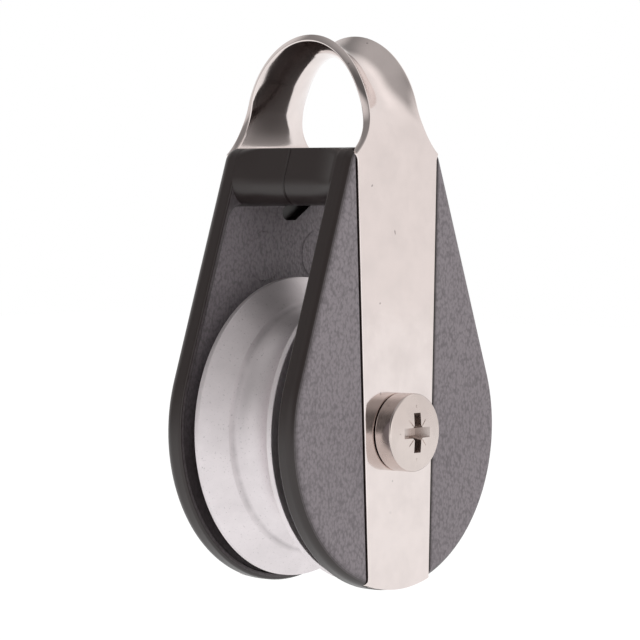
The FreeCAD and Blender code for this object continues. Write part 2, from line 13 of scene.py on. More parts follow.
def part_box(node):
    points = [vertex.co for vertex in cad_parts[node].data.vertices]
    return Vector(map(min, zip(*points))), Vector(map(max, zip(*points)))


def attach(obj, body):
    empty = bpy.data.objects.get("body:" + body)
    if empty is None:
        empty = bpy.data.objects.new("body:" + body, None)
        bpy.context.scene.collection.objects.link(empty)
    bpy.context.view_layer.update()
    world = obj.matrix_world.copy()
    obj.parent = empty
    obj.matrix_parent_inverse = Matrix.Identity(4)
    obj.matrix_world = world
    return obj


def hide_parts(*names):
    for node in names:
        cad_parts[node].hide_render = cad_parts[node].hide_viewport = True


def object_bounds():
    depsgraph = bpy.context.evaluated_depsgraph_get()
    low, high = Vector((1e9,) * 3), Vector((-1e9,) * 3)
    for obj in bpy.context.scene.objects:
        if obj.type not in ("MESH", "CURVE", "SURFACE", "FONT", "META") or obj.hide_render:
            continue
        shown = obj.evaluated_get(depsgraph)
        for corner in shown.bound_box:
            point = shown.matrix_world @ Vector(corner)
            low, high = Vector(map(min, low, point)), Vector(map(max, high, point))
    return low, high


bl_info = {
    "name": "Single pulley block",
    "version": (1, 0, 0),
    "blender": (4, 5, 0),
    "location": "View3D > Sidebar > Pulley block",
    "description": "Builds the sheave, cheeks, strap, screw, nut and stage of a pulley block",
    "category": "Mesh",
}

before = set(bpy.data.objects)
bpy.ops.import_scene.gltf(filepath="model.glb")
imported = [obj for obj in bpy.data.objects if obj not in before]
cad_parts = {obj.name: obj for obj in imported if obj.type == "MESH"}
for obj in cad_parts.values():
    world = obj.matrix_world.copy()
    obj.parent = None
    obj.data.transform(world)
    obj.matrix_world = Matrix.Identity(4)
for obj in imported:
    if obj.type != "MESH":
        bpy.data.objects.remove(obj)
CAD_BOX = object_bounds()

MM = 0.001
FRAME_BODY = "frame"
SHEAVE_BODY = "sheave"
TURN = 2 * math.pi
HAIR = 0.01 * MM    # keeps surfaces that would coincide apart where shells are joined or cut
SUPPORT = 0.04 * MM    # from a rounding to the row of points that keeps the flat beside it flat
ROOM_LEVEL = 0.28    # radiance of the studio where no lamp or pale wall stands
ROOM_PATCHES = (    # azimuth, elevation, inner and outer angle in degrees, and radiance added
    (-20, 12, 30, 60, 0.73), (-98, 0, 22, 44, 0.63), (-60, 75, 15, 55, 0.25),
    (82, 14, 18, 38, 0.5), (170, -14, 20, 50, 0.6),
    (-139, -4, 10, 26, -0.13), (-142, 30, 12, 34, -0.14))
BACKDROP = (40, 0, 22, 32, 1.0)    # the white wall behind the block, in the same order
GRAIN_EDGE = 0.65    # the outer rounding's share of normal along Y where the grain starts
LIP_GRAIN = 0.35    # strength of the grain on the lip
GROOVE_HELD = 0.93    # share of the groove's arc that is kept, which leaves room for the ridges
MIXED = 2    # a Mix node's colour output, whose two colours are its inputs 6 and 7
PAST = 0.5 * MM    # how far a cutter or a cap runs past the surface that it has to clear
FLAT = 0.999    # least share of a face's normal along Y for the face to count as flat


def corner_sizes(node):
    """Lowest and highest corners of a solid as plain arrays, in metres."""
    low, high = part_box(node)
    return np.array(low), np.array(high)


SHEAVE_HIGH = corner_sizes("sheave")[1]
CHEEK_LOW, CHEEK_HIGH = corner_sizes("near_cheek")
WASHER_LOW = corner_sizes("thrust_washer_near")[0]
STRAP_LOW, STRAP_HIGH = corner_sizes("strap")
SCREW_LOW, SCREW_HIGH = corner_sizes("axle_screw")
NUT_LOW, NUT_HIGH = corner_sizes("lock_nut")
STRAP_OUT = NUT_LOW[1]    # from the middle to the outer face of a strap's leg


def length(label, size, words):
    """A length that a user can change, from its size in millimetres."""
    return bpy.props.FloatProperty(name=label, description=words, default=size * MM,
                                   unit="LENGTH", precision=5)


def tilt(label, degrees, words):
    """An angle that a user can change, from its size in degrees."""
    return bpy.props.FloatProperty(name=label, description=words,
                                   default=math.radians(degrees), subtype="ANGLE")


def tone(label, code, words):
    """A colour that a user can change, as linear values worked out from an sRGB hex."""
    return bpy.props.FloatVectorProperty(name=label, description=words, subtype="COLOR",
                                         default=linear(code), size=3, min=0, max=1)


def linear(code):
    """Linear red, green and blue of an sRGB hex such as 8a8f94."""
    parts = [int(code[index:index + 2], 16) / 255 for index in (0, 2, 4)]
    return tuple(part / 12.92 if part <= 0.04045 else ((part + 0.055) / 1.055) ** 2.4
                 for part in parts)


class SheaveSizes(bpy.types.PropertyGroup):
    rim_land: length("Rim land", 0.9, "Width of the flat on each rim")
    rim_round: length("Rim rounding", 0.2, "Rounding of the rims' corners")
    half_width: length("Half width", 8.0, "Middle of the groove to a rim's outer face")
    ridge_radius: length("Ridge radius", 20.5, "Radius of the ridge beside the groove")
    ridge_half: length("Ridge place", 3.9, "Middle of the groove to the ridge")
    ridge_round: length("Ridge rounding", 0.35, "Rounding of the ridge")
    groove_radius: length("Groove radius", 4.4, "Radius of the round wire groove")
    # half width of the painted shade line beside each ridge
    shade_line_half: length("Stain half width", 0.4, "Half width of the dark line at a ridge")
    hub_radius: length("Hub radius", 10.0, "Radius of the hub")
    bush_radius: length("Bush radius", 7.0, "Radius of the hole for the bush")
    hub_round: length("Hub rounding", 0.3, "Rounding of the hub's outer corner")
    land_round: length("Land rounding", 0.25, "Rounding where a rim's land meets its cone")
    steps: bpy.props.IntProperty(name="Steps", description="Steps round the wheel", default=288)


class CheekSizes(bpy.types.PropertyGroup):
    side_angle: tilt("Side angle", 19.6, "Slope of the straight sides from upright")
    shoulder: length("Shoulder", 2.6, "Rounding of the top corners")
    edge_round: length("Edge rounding", 1.8, "Rounding of the outer edge")
    lip_round: length("Lip rounding", 0.45, "Rounding of the lip's outer corner")
    lip_inner: length("Inner lip rounding", 0.15, "Rounding of the lip's inner corner")
    lip_width: length("Lip width", 1.1, "Width of the lip round the recess")
    recess_depth: length("Recess depth", 0.6, "Depth of the recess inside the lip")
    recess_foot: length("Recess foot", 0.5, "Rounding at the foot of the recess's wall")
    recess_corner: length("Recess corner", 3.0, "Rounding of the recess's top corners")
    boss_radius: length("Boss radius", 10.0, "Radius of the boss round the axle")
    head_bottom: length("Head underside", 35.55, "Height of the head's underside")
    head_inset: length("Head inset", 0.6, "Head's front inside the cheek's outline")
    head_foot: length("Head foot", 3.4, "Rounding of the head's lower front corner")
    head_top: length("Head top", 0.4, "Rounding of the head's upper front corner")
    head_flare: length("Head flare", 3.4, "Lower corner where the head meets the lip")
    blend_start: length("Blend start", 5.6, "Distance from the seam where the flare starts")
    seam_bevel: length("Seam bevel", 0.25, "Bevel along the seam")
    channel_depth: length("Channel depth", 1.3, "Depth of the strap's channel")
    channel_gap: length("Channel gap", 0.15, "Gap between the strap and its channel")
    channel_round: length("Channel rounding", 0.8, "Rounding of the channel's long edges")
    axle_hole: length("Axle hole", 5.05, "Radius of the hole for the sleeve")
    slot_offset: length("Slot offset", 1.4, "Sideways place of the slot's round end")
    slot_radius: length("Slot radius", 1.25, "Radius of the slot's round end")
    slot_floor: length("Slot floor", 1.9, "Length of the slot's level floor")
    slot_length: length("Slot length", 5.9, "Length of the slot under the head")
    slot_skin: length("Slot skin", 0.2, "Skin left between the slot and the strap")
    pin_radius: length("Pin mark radius", 3.9, "Radius of a round mould pin mark")
    pin_lift: length("Pin mark lift", 0.12, "How far the pin marks stand proud")
    pin_wall: length("Pin mark wall", 0.15, "Width of the sloping wall round a pin mark")
    pin_height: length("Pin mark height", 27.4, "Height of the pin marks' centres")
    pin_outer: length("Outer pin mark", 8.8, "Sideways place of the outer pin mark")
    pin_inner: length("Inner pin mark", 4.4, "Sideways place of the inner pin mark")
    # the recess's grain and pale colour fade out downwards between these heights: painted shade
    grain_shade_low: length("Grain low", -5, "Height where the recess's grain is weakest")
    grain_shade_high: length("Grain high", 24, "Height where the recess's grain is full")
    grain_shade_least: bpy.props.FloatProperty(name="Least grain", default=0.25,
                                         description="Strength of the recess's weakest grain")


class StrapSizes(bpy.types.PropertyGroup):
    thick: length("Thickness", 1.3, "Thickness of the strip")
    top_half: length("Top half width", 9.75, "Half width just below the shoulders")
    foot_half: length("Foot half width", 7.4, "Half width at the foot")
    foot_radius: length("Foot radius", 24.85, "Radius of the foot about the axle")
    shoulder_height: length("Shoulder height", 43.6, "Height of the shoulders")
    swell: length("Swell", 1.05, "Length over which the legs widen to the shoulders")
    eye_half: length("Eye half width", 5.9, "Half width at the waist")
    crown_half: length("Crown half width", 5.35, "Half width at the top of the eye")
    dish: length("Dish", 2.3, "Depth of the dish across the eye")
    dish_height: length("Dish height", 56.5, "Height where the dish has its full depth")
    neck_clear: length("Neck start", 0.2, "Height above the cheeks where the dish starts")
    arch_clear: length("Arch start", 2.2, "Height above the cheeks where the arch starts")
    lean: length("Lean", 0.4, "How far the legs lean in above the cheeks")
    lean_length: length("Lean length", 6.0, "Height over which the legs lean in")
    waist_height: length("Waist height", 52.0, "Height where the edges run upright")
    edge_round: length("Edge rounding", 0.18, "Rounding of the strip's edges")
    hole: length("Screw hole", 3.2, "Radius of the screw's holes")


class ScrewSizes(bpy.types.PropertyGroup):
    head_round: length("Head rounding", 0.45, "Rounding of the pan head's edge")
    head_under: length("Head underside", 0.2, "Rounding of the head's lower edge")
    seat_lift: length("Seat lift", 0.18, "Gap under the head's rim, outside its seat")
    seat_inset: length("Seat inset", 0.9, "How far the seat lies inside the head's rim")
    head_dome: length("Head dome", 0.55, "How far the head's face rises to its middle")
    thread_radius: length("Thread radius", 3.0, "Outside radius of the thread")
    thread_length: length("Thread length", 10.0, "Length of the thread from the tip")
    pitch: length("Pitch", 1.0, "Pitch of the thread")
    thread_depth: length("Thread depth", 0.6, "Depth of the thread")
    tip: length("Tip chamfer", 0.6, "Chamfer of the screw's tip")
    cross_length: length("Cross length", 6.4, "Cross recess, tip to tip")
    cross_width: length("Cross width", 1.65, "Cross recess, width of an arm")
    cross_depth: length("Cross depth", 2.4, "Depth of the cross recess")
    cross_corner: length("Cross corner", 0.35, "Bevel of the corners between the arms")
    arm_slope: tilt("Arm slope", 24, "Slope of the recess's arm ends from upright")
    wall_slope: tilt("Wall slope", 6, "Slope of the recess's side walls from upright")
    tick_start: length("Tick start", 1.5, "From the axis to a tick between the arms")
    tick_end: length("Tick end", 2.95, "From the axis to the end of that tick")
    tick_width: length("Tick width", 0.16, "Width of a tick")
    tick_depth: length("Tick depth", 0.12, "Depth of a tick")
    mark_start: length("Mark start", 3.9, "From the axis to a mark in line with an arm")
    mark_end: length("Mark end", 4.8, "From the axis to the end of that mark")
    nut_half: length("Nut half flats", 5.0, "Half the lock nut's width across flats")
    nut_height: length("Nut height", 4.4, "Height of the lock nut's hexagon")
    nut_bevel: tilt("Nut bevel", 30, "Slope of the bevel round the hexagon's corners")
    collar_radius: length("Collar radius", 4.5, "Outside radius of the collar")
    collar_wall: length("Collar wall", 0.5, "Wall of the collar round the nylon ring")
    insert_thick: length("Nylon ring", 1.5, "Thickness of the nylon ring")


class BlockColours(bpy.types.PropertyGroup):
    grain: tone("Grained plastic", "8f888d", "Cheeks where the mould was grained")
    smooth: tone("Smooth plastic", "2f2726", "Cheeks where the mould was polished")
    steel: tone("Stainless sheet", "e4dad7", "Strap")
    bar: tone("Stainless bar", "d7ccc7", "Screw, nut and sleeve")
    sheave: tone("Sheave", "efe9eb", "Blasted aluminium of the sheave")
    bearing: tone("Bearing plastic", "d8d4cb", "Bush and washers")
    nylon: tone("Nylon", "c9ced4", "Ring in the lock nut")


class ViewSettings(bpy.types.PropertyGroup):
    azimuth: tilt("Azimuth", -49.26, "0 looks along +Y and 90 along -X")
    elevation: tilt("Elevation", 2.36, "Height of the view above level")
    roll: tilt("Roll", -0.2, "Turn of the camera about its view")
    distance: length("Distance", 541.7, "Camera's distance from the axle")
    across: length("Across", -2.08, "Camera's place to the right of the axle")
    above: length("Above", 17.22, "Camera's place above the axle, in its own frame")
    lens: bpy.props.FloatProperty(name="Focal length", description="Focal length in mm",
                                  default=190.9)


SETTINGS = {"sheave": SheaveSizes, "cheek": CheekSizes, "strap": StrapSizes,
            "screw": ScrewSizes, "colours": BlockColours, "view": ViewSettings}


def settings(name):
    """The values of one group of settings."""
    return getattr(bpy.context.scene, f"block_{name}")


# Meshes: arrays of points and faces become objects at the origin.
def new_object(name, points, faces):
    """An object from a point array and faces, with its faces turned outwards."""
    mesh = bpy.data.meshes.new(name)
    mesh.from_pydata(points.tolist(), [], faces)
    mesh.validate()
    piece = bpy.data.objects.new(name, mesh)
    bpy.context.scene.collection.objects.link(piece)
    turn_outwards(mesh)
    return piece


def turn_outwards(mesh):
    """Flips all faces when the volume that they enclose comes out negative."""
    mesh.calc_loop_triangles()
    count = len(mesh.loop_triangles)
    corners = np.empty(count * 3, np.int32)
    mesh.loop_triangles.foreach_get("vertices", corners)
    places = np.empty(len(mesh.vertices) * 3)
    mesh.vertices.foreach_get("co", places)
    triangle = places.reshape(-1, 3)[corners.reshape(-1, 3)]
    volume = np.einsum("ij,ij->i", triangle[:, 0], np.cross(triangle[:, 1], triangle[:, 2]))
    if volume.sum() < 0:
        mesh.flip_normals()


def tube_faces(rows, columns, closed_rows=False):
    """Quads of a grid whose columns close on themselves, and its rows too if asked."""
    row = np.arange(rows if closed_rows else rows - 1)[:, None]
    column = np.arange(columns)[None, :]
    below = (row % rows) * columns
    above = ((row + 1) % rows) * columns
    after = (column + 1) % columns
    quads = np.stack([below + column, below + after, above + after, above + column], axis=-1)
    return quads.reshape(-1, 4).tolist()


def ring_at(outline, place):
    """A ring of points from an outline of (x, z) and its place along Y."""
    return np.insert(np.asarray(outline, float), 1, place, axis=1)


def capped_tube(name, rings):
    """A closed shell from rings of points, as ring, point, xyz, with flat end caps."""
    rings = np.asarray(rings)
    rows, columns = rings.shape[:2]
    faces = tube_faces(rows, columns)
    faces.append(list(range(columns))[::-1])
    faces.append(list(range((rows - 1) * columns, rows * columns)))
    return new_object(name, rings.reshape(-1, 3), faces)


def soften(corners, radii, steps=6, closed=True):
    """Rounds a polyline: each corner becomes an arc tangent to both its sides.

    The arc's ends lie radius * tan(turn / 2) from the corner, and a support point lies just
    outside each end, so that smooth shading keeps the flats flat."""
    corners = np.asarray(corners, float)
    count = len(corners)
    out = []
    for index, corner in enumerate(corners):
        radius = radii[index]
        if radius <= 0 or (not closed and index in (0, count - 1)):
            out.append(corner[None])
            continue
        back = corners[index - 1] - corner
        ahead = corners[(index + 1) % count] - corner
        back_unit = back / np.linalg.norm(back)
        ahead_unit = ahead / np.linalg.norm(ahead)
        turn = math.pi - math.acos(np.clip(back_unit @ ahead_unit, -1, 1))
        reach = radius * math.tan(turn / 2)
        inward = back_unit + ahead_unit
        centre = corner + inward / np.linalg.norm(inward) * radius / math.cos(turn / 2)
        start, finish = corner + back_unit * reach, corner + ahead_unit * reach
        share = np.linspace(0, 1, steps + 1)[:, None]
        arms = (np.sin((1 - share) * turn) * (start - centre)
                + np.sin(share * turn) * (finish - centre)) / math.sin(turn)
        out += [(start + back_unit * SUPPORT)[None], centre + arms,
                (finish + ahead_unit * SUPPORT)[None]]
    return np.concatenate(out)


def revolve(name, profile, steps):
    """Carries a closed profile of (y, radius) round the Y axis."""
    turn = np.linspace(0, TURN, steps, endpoint=False)[:, None]
    along, radius = profile[None, :, 0], profile[None, :, 1]
    points = np.stack([radius * np.sin(turn), along + 0 * turn, radius * np.cos(turn)], axis=-1)
    return new_object(name, points.reshape(-1, 3), tube_faces(steps, len(profile), True))


def combine(piece, tools, operation="DIFFERENCE"):
    """Cuts closed tool shells from a closed piece, or joins them to it, and removes them.

    The work is done in millimetres, where the solver's own tolerance is too small to matter."""
    enlarge = Matrix.Scale(1 / MM, 4)
    for shell in (piece, *tools):
        shell.data.transform(enlarge)
    for tool in tools:
        modifier = piece.modifiers.new(operation.lower(), "BOOLEAN")
        modifier.object = tool
        modifier.operation = operation
        modifier.solver = "MANIFOLD"
    graph = bpy.context.evaluated_depsgraph_get()
    made = bpy.data.meshes.new_from_object(piece.evaluated_get(graph))
    made.transform(enlarge.inverted())
    piece.modifiers.clear()
    old, piece.data = piece.data, made
    bpy.data.meshes.remove(old)
    for tool in tools:
        bpy.data.objects.remove(tool)
    return piece


def shade(piece, degrees=32):
    """Smooth shading with sharp edges where two faces meet more steeply than the angle."""
    piece.data.shade_smooth()
    piece.data.set_sharp_from_angle(angle=math.radians(degrees))


def smooth_rise(share):
    """Rises from 0 to 1 with no slope at either end."""
    share = np.clip(share, 0, 1)
    return share * share * (3 - 2 * share)


def face_array(mesh, what):
    """The centres or normals of all faces, as an array."""
    values = np.empty(len(mesh.polygons) * 3)
    mesh.polygons.foreach_get(what, values)
    return values.reshape(-1, 3)


def face_attribute(mesh, name, values):
    """Stores a value per face, which a material reads by the attribute's name."""
    layer = mesh.attributes.new(name, "FLOAT", "FACE")
    layer.data.foreach_set("value", values.astype(np.float32))


def finish_piece(piece, material, body, node):
    """Gives a piece its material, its body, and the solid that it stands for."""
    piece.data.materials.clear()
    piece.data.materials.append(material)
    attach(piece, body)
    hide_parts(node)


# Materials
def add_node(tree, kind, inputs=None, **fields):
    """Adds a node and sets its fields. An input given a socket, or a node that stands for its
    first output, is linked to it, and an input given a value is set."""
    node = tree.nodes.new("ShaderNode" + kind)
    for field, value in fields.items():
        setattr(node, field, value)
    for name, value in (inputs or {}).items():
        if isinstance(value, bpy.types.Node):
            value = value.outputs[0]
        if isinstance(value, bpy.types.NodeSocket):
            tree.links.new(value, node.inputs[name])
        else:
            node.inputs[name].default_value = value
    return node


def new_material(name):
    """A material with an empty node tree, and that tree."""
    material = bpy.data.materials.new(name)
    material.use_nodes = True
    material.node_tree.nodes.clear()
    return material, material.node_tree


def finish_material(tree, inputs, relief, strength, depth):
    """Ends a material: a Principled shader with its inputs, and a bump from a height."""
    bump = add_node(tree, "Bump", {"Height": relief, "Strength": strength, "Distance": depth})
    shader = add_node(tree, "BsdfPrincipled", {**inputs, "Normal": bump})
    add_node(tree, "OutputMaterial", {"Surface": shader})


def paint(name, factor=1.0):
    """A colour of the settings as a shader takes it, paler or darker by a factor."""
    return (*(part * factor for part in getattr(settings("colours"), name)), 1)


def blend(tree, value, low, high, first, second, most=1.0):
    """Goes from one colour to another, at most by a share, as a value rises from low to high."""
    share = add_node(tree, "MapRange", {0: value, 1: low, 2: high, 4: most})
    mix = add_node(tree, "Mix", {0: share, 6: first, 7: second}, data_type="RGBA")
    return mix.outputs[MIXED]


def moulded_plastic():
    """Glass-filled nylon, injection moulded. The mould was grained on the faces and polished
    on the walls, so the faces scatter light and look paler than the walls. The pebbles are
    0.5 mm apart, a little drawn out upwards, pale at their middles and dark between."""
    pebble_size, fine_size, cloud_size = 0.5 * MM, 0.3 * MM, 9 * MM
    drawn_out = 0.75    # the grain's scale upwards, against its scale across
    material, tree = new_material("moulded_nylon")
    place = add_node(tree, "TexCoord").outputs["Object"]
    moulded = add_node(tree, "Attribute", attribute_name="grain").outputs["Fac"]
    # painted shade: the grain and its pale colour weaken down the recess's floor
    grained = add_node(tree, "Math", {0: moulded, 1: recess_painted_shade(tree, place)},
                       operation="MULTIPLY")
    stretched = add_node(tree, "Mapping", {"Vector": place, "Scale": (1, 1, drawn_out)})
    pebble = add_node(tree, "TexVoronoi", {"Vector": stretched, "Scale": 1 / pebble_size,
                                           "Smoothness": 0.6}, feature="SMOOTH_F1")
    fine = add_node(tree, "TexNoise", {"Vector": stretched, "Scale": 1 / fine_size})
    cloud = add_node(tree, "TexNoise", {"Vector": place, "Scale": 1 / cloud_size,
                                        "Detail": 3.0})
    lumps = add_node(tree, "Math", {0: pebble, 1: fine}, operation="ADD")
    patchy = blend(tree, cloud, 0.35, 0.65, paint("grain", 0.94), paint("grain", 1.06))
    raised = blend(tree, lumps, 0.65, 1.15, paint("grain", 1.12), patchy)
    speckled = blend(tree, lumps, 0.9, 1.35, raised, paint("grain", 0.7))
    colour = blend(tree, grained, 0, 1, paint("smooth"), speckled)
    roughness = add_node(tree, "MapRange", {0: grained, 3: 0.34, 4: 0.62})
    height = add_node(tree, "Math", {0: lumps, 1: grained}, operation="MULTIPLY")
    finish_material(tree, {"Base Color": colour, "Roughness": roughness, "IOR": 1.53},
                    height, strength=0.8, depth=0.12 * MM)
    return material


def recess_painted_shade(tree, place):
    """1 outside the recess. On its floor the grain, and with it the pale colour, weakens from the
    head down to the axle: painted shade, darker lower down the recess.
    """
    sizes = settings("cheek")
    height = add_node(tree, "SeparateXYZ", {0: place}).outputs["Z"]
    strength = add_node(tree, "MapRange", {0: height, 1: sizes.grain_shade_low, 2: sizes.grain_shade_high,
                                           3: sizes.grain_shade_least})
    inside = add_node(tree, "Attribute", attribute_name="recess").outputs["Fac"]
    return add_node(tree, "Mix", {0: inside, 2: 1.0, 3: strength})


def polished_steel(name, colour, roughness, scratch):
    """Stainless steel, polished before forming: mirror-like, with fine hairlines, faint
    smudges, a few pits and a slight waviness from the press. The cross recess is painted
    darker, partly for its unpolished metal and partly as painted shade in its hollow.

    Polishing leaves hairlines a few hundredths of a millimetre apart. A pixel of the main view
    covers about 0.16 mm, so they are drawn 0.22 mm apart, as coarse as they need to show."""
    smudge_size, pit_size, hair_size, wave_size = 7 * MM, 1.4 * MM, 0.22 * MM, 5 * MM
    drawn_out = 0.06    # the hairlines' scale upwards, against their scale across
    wave_height = 6.0    # against the hairlines' height
    material, tree = new_material(name)
    place = add_node(tree, "TexCoord").outputs["Object"]
    smudge = add_node(tree, "TexNoise", {"Vector": place, "Scale": 1 / smudge_size,
                                         "Detail": 4.0, "Roughness": 0.6})
    dull = add_node(tree, "MapRange", {0: smudge, 1: 0.35, 2: 0.7, 3: roughness * 0.75,
                                       4: roughness * 1.6})
    tint = blend(tree, smudge, 0.4, 0.65, paint(colour), paint(colour, 0.93))
    pits = add_node(tree, "TexNoise", {"Vector": place, "Scale": 1 / pit_size, "Detail": 1.0})
    tint = blend(tree, pits, 0.79, 0.81, tint, paint(colour, 0.3), most=0.6)
    # partly painted shade: the cross recess is painted darker than the polished steel
    stamped = add_node(tree, "Attribute", attribute_name="stamped").outputs["Fac"]
    tint = blend(tree, stamped, 0, 1, tint, paint(colour, 0.85))
    stretched = add_node(tree, "Mapping", {"Vector": place, "Scale": (1, 1, drawn_out)})
    hair = add_node(tree, "TexNoise", {"Vector": stretched, "Scale": 1 / hair_size})
    wave = add_node(tree, "TexNoise", {"Vector": place, "Scale": 1 / wave_size})
    waves = add_node(tree, "Math", {0: wave, 1: wave_height}, operation="MULTIPLY")
    relief = add_node(tree, "Math", {0: hair, 1: waves}, operation="ADD")
    finish_material(tree, {"Base Color": tint, "Metallic": 1.0, "Roughness": dull},
                    relief, strength=scratch, depth=0.01 * MM)
    return material


def blasted_aluminium():
    """Die-cast aluminium, bead blasted: a matt metal under a thin oxide skin, with fine pits
    and faint clouds.

    Blasting leaves pits of about 0.1 mm, too fine to show, so they are drawn 0.35 mm apart."""
    cloud_size, pit_size = 6 * MM, 0.35 * MM
    material, tree = new_material("blasted_aluminium")
    place = add_node(tree, "TexCoord").outputs["Object"]
    cloud = add_node(tree, "TexNoise", {"Vector": place, "Scale": 1 / cloud_size,
                                        "Detail": 4.0, "Roughness": 0.6})
    pits = add_node(tree, "TexNoise", {"Vector": place, "Scale": 1 / pit_size,
                                       "Detail": 3.0, "Roughness": 0.6})
    clouded = blend(tree, cloud, 0.35, 0.7, paint("sheave"), paint("sheave", 0.9))
    pitted = blend(tree, pits, 0.62, 0.72, clouded, paint("sheave", 0.6), most=0.7)
    # painted shade: a dark line in the groove beside each ridge
    colour = ridge_painted_shade(tree, place, cloud, pitted, paint("sheave", 0.5))
    finish_material(tree, {"Base Color": colour, "Metallic": 0.85, "Roughness": 0.5},
                    pits, strength=0.35, depth=0.03 * MM)
    return material


def ridge_painted_shade(tree, place, cloud, unshaded_colour, shade_colour):
    """A thin line of painted shade in the groove beside each ridge, where the groove's wall turns
    away from the light, broken by clouds.

    Its strength falls with the distance of |y| from the line."""
    sizes = settings("sheave")
    along = add_node(tree, "SeparateXYZ", {0: place}).outputs["Y"]
    out = add_node(tree, "Math", {0: along}, operation="ABSOLUTE")
    past = add_node(tree, "Math", {0: out, 1: sizes.ridge_half - sizes.shade_line_half},
                    operation="SUBTRACT")
    away = add_node(tree, "Math", {0: past}, operation="ABSOLUTE")
    near = add_node(tree, "MapRange", {0: away, 2: sizes.shade_line_half, 3: 1.0, 4: 0.0})
    patchy = add_node(tree, "MapRange", {0: cloud, 1: 0.35, 2: 0.65, 3: 0.15, 4: 0.6})
    share = add_node(tree, "Math", {0: near, 1: patchy}, operation="MULTIPLY")
    return blend(tree, share, 0, 1, unshaded_colour, shade_colour)


def turned_plastic(name, colour, roughness):
    """Acetal or nylon, turned or moulded: waxy, with faint marks from the tool, which are
    finer than a pixel and so are drawn 0.4 mm apart."""
    ring_size = 0.4 * MM
    material, tree = new_material(name)
    place = add_node(tree, "TexCoord").outputs["Object"]
    rings = add_node(tree, "TexNoise", {"Vector": place, "Scale": 1 / ring_size})
    tint = blend(tree, rings, 0, 1, paint(colour), paint(colour, 0.9))
    finish_material(tree, {"Base Color": tint, "Roughness": roughness, "IOR": 1.48},
                    rings, strength=0.2, depth=0.02 * MM)
    return material


# Sheave
def sheave_profile(sizes):
    """Closed profile of (y, radius): bore, hub, side, land, rope cone, ridge, groove, and back.

    The groove is an arc whose centre lies outside the ridge's radius, on the middle plane."""
    hub_face, rim = SHEAVE_HIGH[1], SHEAVE_HIGH[2]
    wide, land = sizes.half_width, sizes.half_width - sizes.rim_land
    side = [(hub_face, sizes.bush_radius, sizes.rim_round),
            (hub_face, sizes.hub_radius, sizes.hub_round),
            (wide, sizes.hub_radius, sizes.rim_round), (wide, rim, sizes.rim_round),
            (land, rim, sizes.land_round)]
    centre = sizes.ridge_radius + math.sqrt(sizes.groove_radius ** 2 - sizes.ridge_half ** 2)
    half = math.asin(sizes.ridge_half / sizes.groove_radius) * GROOVE_HELD
    swing = np.linspace(half, -half, 25)
    arc = [(sizes.groove_radius * math.sin(a), centre - sizes.groove_radius * math.cos(a), 0)
           for a in swing]
    right = side + [(sizes.ridge_half, sizes.ridge_radius, sizes.ridge_round)]
    left = [(-y, radius, rounding) for y, radius, rounding in reversed(right)]
    corners = right + arc + left
    return soften([corner[:2] for corner in corners], [corner[2] for corner in corners])


# Cheek outline
def teardrop(radius, top, corner, angle):
    """Outline of a round end, two tangent sides and a flat top, and its outward normals.

    A point on the round end is radius * (cos, sin) of its normal's angle. The sides are
    tangent to it, and a shoulder is an arc of the corner radius tangent to a side and the top."""
    centre_z = top - corner
    centre_x = (radius - corner - centre_z * math.sin(angle)) / math.cos(angle)
    quarter = np.linspace(angle, math.pi / 2, 14)
    bottom = np.linspace(math.pi - angle, TURN + angle, 96)

    def arc(x, z, size, turns):
        normal = np.stack([np.cos(turns), np.sin(turns)], axis=-1)
        return np.array([x, z]) + size * normal, normal

    round_end = arc(0, 0, radius, bottom)
    right = arc(centre_x, centre_z, corner, quarter)
    left = arc(-centre_x, centre_z, corner, math.pi - quarter[::-1])
    parts = []
    for first, second in ((round_end, right), (right, left), (left, round_end)):
        share = np.linspace(0, 1, 14)[1:-1, None]
        straight = first[0][-1] * (1 - share) + second[0][0] * share
        parts += [first, (straight, np.repeat(first[1][-1:], len(share), axis=0))]
    points = np.concatenate([part[0] for part in parts])
    normals = np.concatenate([part[1] for part in parts])
    return points, normals


def carried(outline, normals, profile):
    """Rings of a profile of (inset, y) carried round an outline in the XZ plane."""
    inset, depth = profile[:, 0][:, None], profile[:, 1][:, None]
    x = outline[None, :, 0] - inset * normals[None, :, 0]
    z = outline[None, :, 1] - inset * normals[None, :, 1]
    return np.stack([x, depth + 0 * x, z], axis=-1)


def head_outline(sizes, top, inset, top_corner, foot_corner):
    """The head's outline at one place: sloping sides, and four corners of their own radius."""
    angle = sizes.side_angle
    radius = CHEEK_HIGH[0] - inset
    bottom = sizes.head_bottom

    def centre(z, corner):
        return (radius - corner - z * math.sin(angle)) / math.cos(angle)

    foot_z, top_z = bottom + foot_corner, top - top_corner
    foot_x, top_x = centre(foot_z, foot_corner), centre(top_z, top_corner)
    low = np.linspace(-math.pi / 2, angle, 12)
    high = np.linspace(angle, math.pi / 2, 12)
    right = np.concatenate([
        np.stack([foot_x + foot_corner * np.cos(low), foot_z + foot_corner * np.sin(low)], -1),
        np.stack([top_x + top_corner * np.cos(high), top_z + top_corner * np.sin(high)], -1)])
    left = right[::-1] * np.array([-1, 1])
    return np.concatenate([right, left])


